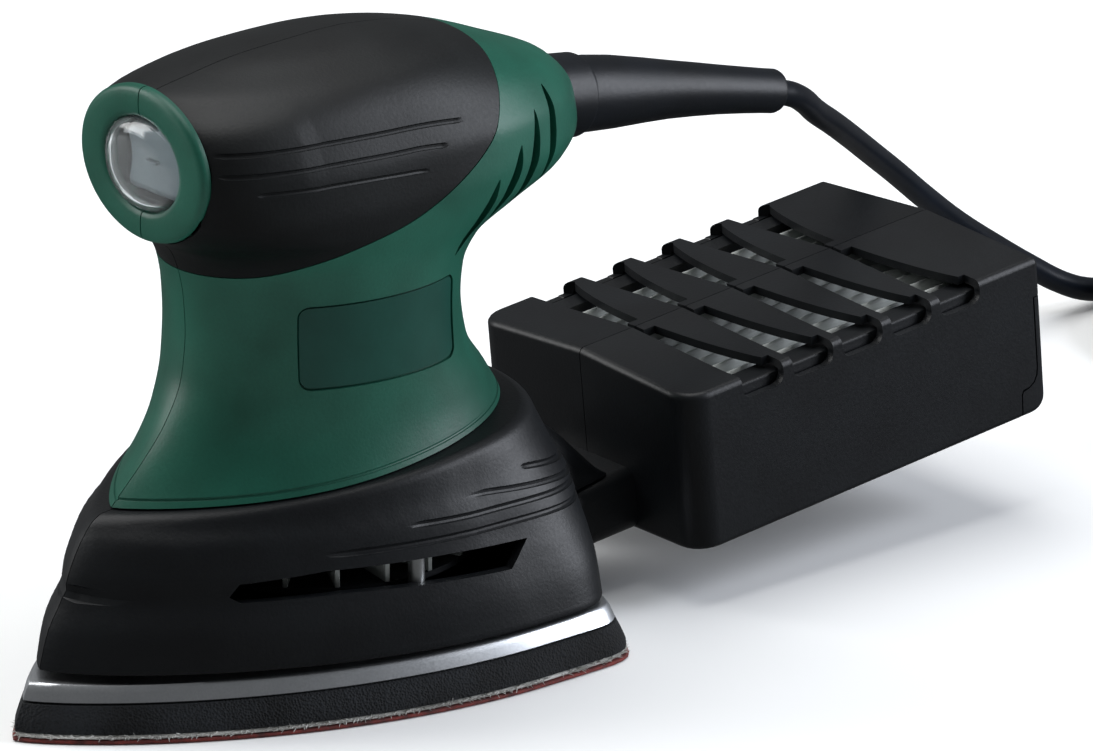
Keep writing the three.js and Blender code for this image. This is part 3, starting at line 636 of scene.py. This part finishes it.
# ---- green housing and soft grip
GRIP_FRONT = -46.8
GRIP_EDGE = [(-38.6, 102), (-30, 103.3), (-21.6, 106), (-10.3, 109.6), (3.8, 113.6), (17.1, 120.2),
             (25.3, 125.9), (30.4, 131.8), (34.2, 138.6), (38.5, 146), (40.5, 160)]
GRIP_LINES = [
    [(-45, 135.5), (-20, 135.2), (5, 134.4), (19, 133.2)],
    [(-45, 131), (-20, 130.6), (0, 129.9), (13, 129)],
    [(-38, 126.5), (-20, 126), (-6, 125.3), (7, 124.3)],
]
GRIP_THICK = 2.0
GAP = 0.25               # between the grip and the housing round it
HOUSING_WALL = 2.4
VENTS = [
    [(49.1, 135.2), (49.9, 127), (49.3, 118.5), (46.5, 110)],
    [(42.8, 130), (42.6, 122), (40.5, 114.5), (36.5, 106.5)],
    [(36.8, 123.2), (35.6, 118), (33.2, 112), (29.8, 106)],
    [(29.2, 117.2), (27.6, 111.5), (24.7, 105.4), (19.5, 99.5)],
]
SLEEVE_FROM = Vector((0, 78, 118.6))
SLEEVE_WAY = (SLEEVE_END - SLEEVE_FROM).normalized()


def grip_zone(grow):
    """the side view of the soft grip, grown by the gap round it"""
    edge = smooth_line([(y, z, 0) for y, z in GRIP_EDGE], 5)
    edge = [(p.x + grow * (0.7 if p.y > 112 else 0), p.y - grow * (1 if p.y < 130 else 0.3)) for p in edge]
    front = GRIP_FRONT - grow
    outline = [(-60, 102 - grow), *edge, (front, 160), (front, 112.6 + grow * 0.5), (-60, 112.6 + grow * 0.5)]
    return drawn(outline, 0, -60, 60)


def nose_oval(grow, y0, y1):
    return lofted([oval(RING["out_x"] + grow, RING["out_z"] + grow, y, RING["mid"]) for y in (y0, y1)])


def vent_cutter(line, side):
    """a slot that is narrow at its ends, driven through one flank"""
    stops = smooth_line([(0, y, z) for y, z in line], 6)
    widths = [0.12 + 1.45 * sin(pi * k / (len(stops) - 1)) ** 0.8 for k in range(len(stops))]
    cutter = swept(stops, widths, 16)
    for vert in cutter.verts:
        vert.co.x *= 13
    bmesh.ops.translate(cutter, vec=(30 * side, 0, 0), verts=cutter.verts)
    return cutter


def panel_field(side, inset, depth, *steps):
    """the shallow blank field on the flank"""
    window = block((10, -22.8 + inset, 75.5 + inset), (60, 20 - inset, 95.5 - inset), 2.6 - inset, 5,
                   lambda e: along(e, 0))
    field = carve(window, ("DIFFERENCE", skin(UPPER, depth, 3, 96)), *steps)
    if side < 0:
        bmesh.ops.scale(field, vec=(-1, 1, 1), verts=field.verts)
        bmesh.ops.reverse_faces(field, faces=field.faces)
    return field


def hollow(extra=0.0):
    """the space inside the housing's wall, less extra all round"""
    rows = [[40, *UPPER[0][1:]], *UPPER[:-2]]
    return skin(rows, GRIP_THICK + GAP + HOUSING_WALL + extra, 2, 72)


def hem_groove(rows, lift, radius, depth, side):
    stops = []
    for turn in range(-96, 97, 6):
        z = HEM_Z
        for _ in range(4):
            z = hem_z(on_section(row_at(rows, z), turn).y, lift)
        stops.append((turn, z))
    return groove(rows, stops, radius, depth, fade=0, steps=2, side=side)


def make_upper():
    body = cut(skin(UPPER), hem_band(-60, 0))
    core = skin(UPPER, GRIP_THICK + GAP, 3, 96)

    # grip: the outer 2 mm of the body inside the grip's outline
    tools = [skin(UPPER, GRIP_THICK, 3, 96), nose_oval(GAP, -60, -45.6), nose_oval(GAP - 4.6, -60, -36)]
    grip = carve(body.copy(), ("INTERSECT", grip_zone(0)), *[("DIFFERENCE", tool) for tool in tools])
    lines = []
    for line in GRIP_LINES:
        stops = [(turn_at(UPPER, y, z), z) for y, z in line]
        lines += [groove(UPPER, stops, 0.7, 0.5, 0.03, 8, side) for side, _ in SIDES]
    both_halves("soft_grip", cut(grip, *lines), "soft_grip", "housing", "grip")

    # housing: the rest, hollow, with its openings
    under_grip = cut(grip_zone(GAP), core.copy())
    ahead = cut(block((-60, -70, 110), (60, GRIP_FRONT - GAP, 165)), core)
    bore = turned([(0, -25), (10.5, -25), (10.5, 20), (0, 20)], SLEEVE_WAY, SLEEVE_FROM, 48)
    opening = lofted([oval(RING["x"] - 0.4, RING["z"] - 0.4, y, RING["mid"]) for y in (-60, -36)])
    shell = cut(body, under_grip, ahead, hollow(), opening, bore)
    tools = [vent_cutter(line, side) for line in VENTS for side, _ in SIDES]
    tools += [panel_field(side, 0, 0.9) for side, _ in SIDES]
    tools += [hem_groove(UPPER, 1.5, 0.45, 0.4, side) for side, _ in SIDES]
    both_halves("green_housing", cut(shell, *tools), "green_nylon", "housing", "housing")

    # a thin wall down the middle of the hollow tail, so no light shows from one set of vents to the other
    baffle = carve(block((-0.7, 17, 97), (0.7, 51.5, 142)), ("INTERSECT", hollow(0.5)))
    piece("vent_baffle", baffle, "black_nylon", "housing")
    for side, place in SIDES:
        inlay = panel_field(side, 0.5, 0.88, ("INTERSECT", skin(UPPER, 0.3, 3, 96)))
        piece(f"flank_inlay_{place}", inlay, "green_nylon", "housing", film="inlay_film")


def make_nose_ring():
    """the broad oval ring round the switch, rounded at both edges"""
    # inset from the outer edge, y
    profile = [(0, -45.9), (0, -46.7), (0.08, -47.2), (0.35, -47.75), (0.85, -48.15), (1.7, -48.4),
               (3.2, -48.55), (5.2, -48.6), (7.2, -48.5), (8.2, -48.3), (8.75, -47.9), (8.95, -47.2),
               (9, -45.5), (9, -43.2), (4.6, -43.2), (4.6, -45.9)]
    depth_x = (RING["out_x"] - RING["x"] + 0.4) / 9
    depth_z = (RING["out_z"] - RING["z"] + 0.4) / 9
    rings = [oval(RING["out_x"] - inset * depth_x, RING["out_z"] - inset * depth_z, y, RING["mid"], 96)
             for inset, y in profile]
    both_halves("nose_ring", lofted(rings, closed=True), "green_nylon", "housing", gap=0.18)


# ---- switch
def make_switch():
    mid = RING["mid"]
    # the boot: a soft dome, its share of the opening at each y
    dome = [(1.0, -46.2), (1.0, -47.6), (0.985, -48.2), (0.94, -48.9), (0.86, -49.5), (0.72, -49.95),
            (0.5, -50.25), (0.25, -50.4), (0.06, -50.45)]
    x, z = RING["x"] - 0.75, RING["z"] - 0.75
    outer = [oval(x * g, z * g, y, mid, 64, 2.15) for g, y in dome]
    inner = [oval(x * g * 0.93, z * g * 0.92, y + 0.9, mid, 64, 2.15) for g, y in dome]
    inside = lofted([oval(12.2, 9.8, -44.0, mid, 64), *inner])
    boot = cut(lofted(outer), inside)
    piece("clear_boot", boot, "clear_silicone", "housing", "switch_boot", crisp=50)
    # the rocker: a saddle with raised end bars
    rocker = drawn([(-43.4, 120.6), (-44.5, 121.6), (-44.9, 123), (-44.2, 126), (-44, 128.5), (-44.2, 131),
                    (-44.9, 134), (-44.5, 135.6), (-43.4, 136.4), (-39, 134.5), (-37, 128.5), (-39, 122.5)],
                   0, -8.6, 8.6)
    round_edges(rocker, lambda e: abs(middle(e).x) > 8 and not along(e, 0) and middle(e).y < -42, 0.7, 3)
    rib = block((-2.0, -45.2, 128.2), (2.0, -43.6, 128.9), 0.25)
    piece("switch_saddle", carve(rocker, ("UNION", rib)), "switch_nylon", "rocker", "switch_rocker")
    # a dark frame that the rocker moves in
    surround = lofted([oval(13.3, 10.9, y, mid, 64, 2.2) for y in (-44.6, -40)])
    hole = block((-9.4, -50, 119.6), (9.4, -30, 137.4), 1.6, 4, lambda e: along(e, 1))
    piece("switch_bezel", cut(surround, hole), "black_nylon", "housing")


# ---- black skirt
WINDOW = [(-45, 32), (-43, 30.6), (-20, 30.8), (20, 29.2), (26.2, 34.7), (5, 35.8), (-25, 36.5), (-43, 35)]
SKIRT_LINES = [
    [(29.6, 49.4), (40, 47.6), (49, 45.8)], [(12.6, 46.9), (30, 45.4), (48, 43.1)],
    [(-4.4, 43.7), (22, 42.8), (48, 41.2)], [(-25, 40), (12, 39.2), (48, 37.8)],
]


def skirt_solid():
    """the skirt's outside: rings that lie level at the foot and along the slanted hem at the top,
    both edges rounded"""
    foot, rim, step, levels = LOWER[0][0], -0.3, 0.2, 240
    table = [row_at(LOWER, foot + step * k) for k in range(levels + 1)]
    turns = spaced_turns(row_at(LOWER, 36), 176)
    # share of the way up, height added, inset
    rings = [(0, 0, 0.8), (0, 0.25, 0.25), (0, 0.8, 0)] + [(k / 44, 0, 0) for k in range(1, 44)]
    rings += [(1, -2.2 * (1 - sin(radians(a))), 2.2 * (1 - cos(radians(a)))) for a in range(0, 91, 15)]
    loops = []
    for share, up, inset in rings:
        loop = []
        for turn in turns:
            z = 40
            for _ in range(3):
                row = table[min(max(round((z - foot) / step), 0), levels)]
                y = on_section(row, turn).y
                z = foot + share * (hem_z(y, rim) - foot) + up
                if 0 < share < 1:
                    z = foot + 0.9 + share * (hem_z(y, rim) - foot - 3.3)
            point = on_section(row, turn, -inset)
            loop.append((point.x, point.y, z))
        loops.append(loop)
    return lofted(loops)


def make_skirt():
    room = cut(skin([[8, *LOWER[0][1:]], *LOWER], 2.4, 3, 96), hem_band(-2.7, 60))
    well = skin([[30, *UPPER[0][1:]], *UPPER[:6]], 4.6, 2, 72)
    nose_band = [(-96, 32.8), (-88, 32.6), (-80, 32.3), (-72, 31.9), (-64, 31.5)]
    tools = [room, well]
    for side, _ in SIDES:
        tools.append(drawn(WINDOW, 0, 20 * side, 62 * side))
        for line in SKIRT_LINES:
            stops = [(turn_at(LOWER, y, z), z) for y, z in line]
            end_turn, end_z = stops[-1]
            stops += [(end_turn + (96 - end_turn) * k / 4, end_z - 0.25 * k) for k in range(1, 5)]
            tools.append(groove(LOWER, stops, 0.85, 0.75, 0.03, 8, side))
        tools.append(groove(LOWER, nose_band, 2.6, 1.3, 0.6, 8, side))
    both_halves("black_skirt", cut(skirt_solid(), *tools), "black_nylon", "housing", "skirt")
    post_profile = [(0, 24), (2.2, 24), (2.2, 26), (1.95, 26.3), (1.95, 37.1), (0, 37.1)]
    for side, place in SIDES:
        post = turned(post_profile, centre=(40.2 * side, -2.3, 0), steps=28)
        piece(f"spacer_post_{place}", post, "zinc_screw", "housing")


# ---- pad and abrasive
PAD = {"nose": -87, "rear": 60, "widest": 27, "half": 52, "curve": (1.9, 1.2, 9, 3)}
DUST_HOLES = [(0, -52), (-17, -30), (17, -30), (-31, 2), (31, 2), (-34, 34), (34, 34), (0, 42)]
DUST_HOLE_R = 4
TUFTS = 1100


def pad_row(z, by):
    return [z, PAD["nose"] + by * 1.1, PAD["rear"] - by, PAD["widest"], PAD["half"] - by, *PAD["curve"]]


def pad_layer(levels):
    """a layer of the pad's outline with its dust holes; levels are (height, inset)"""
    turns = spaced_turns(pad_row(*levels[0]), 160)
    solid = lofted([[on_section(pad_row(z, by), t) for t in turns] for z, by in levels])
    drill = [(0, -2), (DUST_HOLE_R, -2), (DUST_HOLE_R, 20), (0, 20)]
    return cut(solid, *[turned(drill, centre=(x, y, 0), steps=28) for x, y in DUST_HOLES])


def make_pad():
    grit = piece("abrasive_sheet", pad_layer([(0, 0.25), (0.1, 0.1), (0.4, 0.05), (0.7, 0.3)]),
                 "abrasive", "pad", "sanding_sheet")
    hooks = piece("hook_felt", pad_layer([(0.85, 1.2), (1.1, 0.95), (1.6, 0.95), (1.85, 1.2)]),
                  "hook_fibre", "pad", "hook_layer")
    cushion = pad_layer([(2.0, 1.0), (2.2, 0.6), (4, 0.75), (6, 1.5), (7.9, 2.3), (8.4, 2.5), (8.6, 2.9)])
    foam = piece("foam_cushion", cushion, "foam", "pad", "foam_pad")
    plate = pad_layer([(8.9, 3.0), (9.15, 2.8), (11.2, 3.5), (12.3, 4.1), (12.85, 4.6), (13.1, 5.4)])
    seat = turned([(0, 12), (14, 12), (14, 21.5), (11.3, 21.5), (11.3, 13.8), (0, 13.8)],
                  centre=(0.7, 0, 0), steps=40)
    piece("pad_casting", carve(plate, ("UNION", seat)), "bright_aluminium", "pad", "pad_plate")

    # loose hook filaments along the rim, thin four-sided cones that lean every way
    fringe = bmesh.new()
    for turn in spaced_turns(pad_row(1.4, 0.6), TUFTS):
        height = random.uniform(1.0, 1.8)
        root = on_section(pad_row(height, 1.1), turn)
        away = on_section(pad_row(height, -0.5), turn) - root
        stray = Vector((random.uniform(-0.7, 0.7), random.uniform(-0.7, 0.7), random.uniform(-0.5, 0.7)))
        lean = away.normalized() + stray
        long = random.uniform(0.7, 1.8)
        turned_to = lean.to_track_quat("Z", "Y").to_matrix().to_4x4()
        where = Matrix.Translation(root + lean.normalized() * long / 2) @ turned_to
        bmesh.ops.create_cone(fringe, cap_ends=True, segments=4, radius1=random.uniform(0.1, 0.2),
                              radius2=0.04, depth=long, matrix=where)
    tufts = piece("hook_fringe", fringe, "hook_fibre", "pad", crisp=80)


# ---- fan
def make_fan():
    floor, rim, hub, blades = 28.5, 38, 9, 20
    disc = turned([(4.3, floor), (rim, floor), (rim, 29.9), (hub, 29.9), (hub, 38), (4.3, 38), (4.3, floor)],
                  steps=72)
    piece("fan_disc", disc, "black_nylon", "rotor", "fan")
    made = []
    for k in range(blades):
        blade = block((13, -0.6, 29.95), (37.9, 0.6, 37.6), 0.25, 2)
        for vert in blade.verts:
            vert.co.y += 0.006 * (vert.co.x - 13) ** 2
        turn = Matrix.Rotation(2 * pi * k / blades, 3, "Z")
        bmesh.ops.rotate(blade, cent=(0, 0, 0), matrix=turn, verts=blade.verts)
        made.append(blade)
    first, *others = made
    piece("fan_blades", carve(first, *[("UNION", blade) for blade in others]), "fan_nylon", "rotor")


# ---- dust cassette, in its own tilted frame
CASSETTE = {"half": 38.9, "length": 112, "deep": 39.8, "ridge": 2.5, "wall": 2}
TILT = Matrix.Translation((0, 80, 53.6)) @ Matrix.Rotation(radians(5.7), 4, "X")
SLOTS = {"first": 16.5, "pitch": 15.7, "count": 5, "narrow": 4.5, "wide": 13}
DUCT = {"half": 17.2, "top": -24, "bottom": -39.6, "wall": 1.5}
PLEATS = {"pitch": 5.4, "count": 11, "deep": 4.6}
# the flap's rounded L outline in the side view, behind the rear: a thin door above, a foot below,
# and the slightly larger room that it sits in
FLAP_DOOR = [(-2.2, -10), (-2.2, -28), (-2.5, -30), (-3.5, -31.7), (-5.2, -32.7), (-7.3, -33.1), (-7.6, -34),
             (-7.9, -44), (6, -44), (6, -10)]
FLAP_ROOM = [(-2.65, -9.6), (-2.65, -27.9), (-2.95, -29.8), (-3.85, -31.4), (-5.35, -32.3), (-7.5, -32.6),
             (-8.0, -33.7), (-8.35, -44), (6, -44), (6, -9.6)]


def tilted(bm):
    bm.transform(TILT)
    return bm


def gabled_box(by, low_y, high_y, corner):
    """a box with a low ridge along its top, a round front, rounded edges underneath"""
    w, deep = CASSETTE["half"] - by, CASSETTE["deep"] - by
    box = block((-w, low_y, -deep), (w, high_y, -by))
    cut = bmesh.ops.bisect_plane(box, geom=box.verts[:] + box.edges[:] + box.faces[:], plane_co=(0, 0, 0),
                                 plane_no=(1, 0, 0))
    for vert in [v for v in cut["geom_cut"] if isinstance(v, bmesh.types.BMVert) and v.co.z > -by - 1]:
        vert.co.z += CASSETTE["ridge"]

    def is_upright(edge):
        return along(edge, 2) and abs(middle(edge).x) > 10

    def is_underneath(edge):
        x, y, z = middle(edge)
        return z < -deep + 0.01 and (abs(x) > w - corner - 1 or y < low_y + corner)

    round_edges(box, lambda e: is_upright(e) and middle(e).y < low_y + 1, corner, 6)
    round_edges(box, lambda e: is_upright(e) and middle(e).y > high_y - 1, 1.6, 4)
    round_edges(box, is_underneath, max(corner - 1.5, 1.5), 6)
    top = [e for e in box.edges if middle(e).z > -by - 0.6 and len(e.link_faces) == 2
           and e.calc_face_angle(0) > radians(40)]
    bmesh.ops.bevel(box, geom=top, offset=max(1.6 - by * 0.5, 0.6), segments=4, profile=0.5,
                    affect="EDGES", material=-1)
    bmesh.ops.recalc_face_normals(box, faces=box.faces)
    return box


def rear_round():
    """the side view of the cassette with its lower rear corner rounded"""
    length, deep, radius = CASSETTE["length"], CASSETTE["deep"], 6.5
    y, z = length - radius, radius - deep
    arc = [(y + radius * sin(radians(a)), z - radius * cos(radians(a))) for a in range(0, 91, 9)]
    return drawn([(-60, -deep - 5), (y - 3, -deep - 5), (y - 3, -deep), *arc, (length, -9.6),
                  (length + 0.5, -9.2), (length + 0.5, 30), (-60, 30)], 0, -60, 60)


def slot_cutters(start, side):
    """narrow by the ridge, wide at the flank, where it turns down the wall"""
    far, narrow, wide = CASSETTE["half"] - 1, SLOTS["narrow"], SLOTS["wide"]
    edge = []
    for k in range(13):
        t = k / 12
        a, b, c = (1 - t) ** 2, 2 * t * (1 - t), t * t
        x = a * 3 + b * 24 + c * far
        y = a * (start + narrow) + b * (start + narrow + 2.5) + c * (start + wide)
        edge.append((side * x, y))
    if side > 0:         # rounded corners on the flank
        reach, low, corner = wide + 0.2, -5.4, 2.6
        outline = [*edge, (45, start + wide + 1.2), (45, start + 1)]
    else:                # the bridges end in points on this side
        reach, low, corner = wide - 3.6, -3.2, 0.4
        outline = [*edge[:-1], (1.5 - far, start + wide - 0.2), (-45, start + reach - 3), (-45, start + 0.4)]
    outline = [(side * 3, start), *outline, (side * (far - 6), start)]
    near, out = sorted((side * 33.5, side * 46))
    flank = block((near, start + 0.4, low), (out, start + reach, 6), corner, 5,
                  lambda e: along(e, 0) and middle(e).z < 0)
    return [drawn(outline, 2, -3.0, 12), flank]


def make_cassette():
    length, wall = CASSETTE["length"], CASSETTE["wall"]
    outer = carve(gabled_box(0, 0, length, 7), ("INTERSECT", rear_round()))
    lip = block((-60, length - 2.4, -9.65), (60, length + 9, 20))
    tools = [cut(gabled_box(wall, wall, length + 6, 5), lip)]
    for k in range(SLOTS["count"]):
        start = SLOTS["first"] + k * SLOTS["pitch"]
        for side, _ in SIDES:
            tools += slot_cutters(start, side)
        tools.append(block((-3.2, start, -6), (3.2, start + 1.1, 6)))
    tools.append(drawn([(length + y, z) for y, z in FLAP_ROOM], 0, -45, 45))
    tools.append(block((-16, -2, DUCT["bottom"] + 3), (16, 4, DUCT["top"] - 3), 2, 3))
    both_halves("cassette_shell", cut(outer, *tools), "black_nylon", "cassette", "cassette", place=TILT)

    door = drawn([(length + y, z) for y, z in FLAP_DOOR], 0, -45, 45)
    inside = block((-36.9, length - 12, -37.6), (36.9, length - 1.95, -14), 1.5, 3)
    flap = carve(gabled_box(0.02, 0, length, 7), ("INTERSECT", rear_round()), ("INTERSECT", door),
                 ("DIFFERENCE", inside))
    catch = block((-9, length - 0.6, -15.5), (9, length + 0.7, -12.5), 0.5)
    piece("flap_door", tilted(carve(flap, ("UNION", catch))), "black_nylon", "flap", "cassette_flap")

    # pleats: a wavy sheet with rounded folds
    reach = PLEATS["pitch"] * PLEATS["count"] / 2
    pleats = bmesh.new()
    bmesh.ops.create_grid(pleats, x_segments=PLEATS["count"] * 16, y_segments=12, size=1)
    for vert in pleats.verts:
        x = vert.co.x * reach
        wave = cos(2 * pi * x / PLEATS["pitch"])
        fold = (abs(wave) ** 0.7) * (1 if wave > 0 else -1)
        vert.co = (x, 54.5 + vert.co.y * 41.5, -5.7 + fold * PLEATS["deep"] / 2)
    bmesh.ops.recalc_face_normals(pleats, faces=pleats.faces)
    bmesh.ops.solidify(pleats, geom=pleats.faces[:], thickness=0.5)
    piece("filter_folds", tilted(pleats), "filter_paper", "cassette", "filter_pleats", crisp=60)

    border = block((-36.4, 8, -13), (36.4, length - 11, -2.7), 0.8, 2)
    border = cut(border, block((-30.2, 12, -14), (30.2, length - 15, 0), 1, 2))
    piece("filter_border", tilted(border), "black_nylon", "cassette", "filter_frame")


def duct_tube(inset, y0, y1):
    """a length of the duct, smaller all round by inset"""
    half, top, bottom, wall = DUCT["half"] - inset, DUCT["top"] - inset, DUCT["bottom"] + inset, DUCT["wall"]
    outer = block((-half, y0, bottom), (half, y1, top), 3.8, 6, lambda e: along(e, 1))
    inner = block((-half + wall, y0 - 5, bottom + wall), (half - wall, y1 + 5, top - wall), 2.0, 4,
                  lambda e: along(e, 1))
    return cut(outer, inner)


def make_duct():
    piece("suction_duct", tilted(duct_tube(0, -21, 0.2)), "black_nylon", "cassette", "cassette_duct")
    # the housing's hood, which falls from the skirt's rear onto the duct: y, half width, top
    shape = [(-28, 17, -3.5), (-23, 16.6, -4.6), (-18.5, 16.2, -7.2), (-14.5, 15.8, -11.2), (-11, 15.4, -16),
             (-8.2, 15, -20.4), (-6.4, 14.4, -22.8), (-5.8, 13.8, -23.4)]
    low = DUCT["top"] + 0.35
    hood = [[(x, y, low + max(z, 0) * (top - low)) for x, _, z in oval(half, 1, 0, 0, 64, 2.4)]
            for y, half, top in shape]
    piece("outlet_hood", tilted(lofted(hood)), "black_nylon", "housing")
    piece("duct_spigot", tilted(duct_tube(1.8, -28, -13)), "black_nylon", "housing", "exhaust_spigot")


# ---- strain relief
def make_sleeve():
    """a tapered sleeve with a collar, bent a little downwards"""
    start, parts, rise = SLEEVE_FROM - SLEEVE_WAY * 17, 20, 1.3
    reach = (SLEEVE_END - start).length
    line = [start + (SLEEVE_END - start) * (k / parts) + Vector((0, 0, rise)) * sin(pi * k / parts)
            for k in range(parts + 1)]
    profile = [(0, 9.8), (0.2, 10), (15.6, 10), (16.3, 9.75), (16.7, 9.2), (17.4, 9.0), (20, 9.1), (28, 8.7),
               (38, 7.75), (46, 7.0), (54, 6.45), (62, 5.95), (70, 5.6), (76, 5.4), (reach - 1.2, 5.35),
               (reach - 0.4, 5.05), (reach, 4.3)]
    path = []
    for along_line, _ in profile:
        at = along_line / reach * parts
        k = min(int(at), parts - 1)
        path.append(line[k].lerp(line[k + 1], at - k))
    sleeve = swept(path, [r for _, r in profile], 48)
    hole = swept([path[0] - SLEEVE_WAY * 2, *path[1:-1], SLEEVE_END + SLEEVE_WAY * 3], CORD_R + 0.15, 32)
    piece("cord_sleeve", cut(sleeve, hole), "rubber", "housing", "strain_relief")


make_upper()
make_nose_ring()
make_switch()
make_skirt()
make_pad()
make_fan()
make_cassette()
make_duct()
make_sleeve()


# ---- finishes of the CAD nodes that stay
for part in frame["record"]["subparts"]:
    node = frame["nodes"][part["node"]]
    node.data.materials.clear()
    node.data.materials.append(FINISH[part["material_slot"]])


# ---- floor and light
def make_floor():
    floor = bmesh.new()
    bmesh.ops.create_grid(floor, x_segments=1, y_segments=1, size=6)
    bmesh.ops.translate(floor, vec=(0, 0, -0.0002), verts=floor.verts)
    obj = as_object(floor, "floor")
    paper = bpy.data.materials.new("matt white paper")
    paper.use_nodes = True
    shader = paper.node_tree.nodes["Principled BSDF"]
    shader.inputs["Base Color"].default_value = linear("#f7f8f8")
    shader.inputs["Roughness"].default_value = 0.9
    shader.inputs["Specular IOR Level"].default_value = 0.1
    obj.data.materials.append(paper)
    obj.visible_glossy = False


def area_light(name, place, target, size, power, colour="#ffffff"):
    light = bpy.data.lights.new(name, "AREA")
    light.shape, light.size, light.size_y, light.energy = "RECTANGLE", size[0], size[1], power
    light.color = linear(colour)[:3]
    obj = bpy.data.objects.new(name, light)
    obj.location = place
    obj.rotation_euler = (Vector(place) - Vector(target)).to_track_quat("Z", "Y").to_euler()
    scene.collection.objects.link(obj)


make_floor()
area_light("left_softbox", (-1.02, -0.78, 0.75), (0, 0.0, 0.08), (0.6, 1.3), 16)
area_light("right_softbox", (0.8, 1.1, 0.6), (0, 0.08, 0.05), (0.6, 1.2), 22, "#f2f6ff")
area_light("top_softbox", (-0.35, 0.1, 1.9), (0, 0.08, 0.05), (1.6, 1.6), 28)
world = bpy.data.worlds.new("studio")
world.use_nodes = True
world.node_tree.nodes["Background"].inputs["Color"].default_value = linear("#f2f4f6")
world.node_tree.nodes["Background"].inputs["Strength"].default_value = 0.12
scene.world = world
scene.view_settings.view_transform = "Standard"
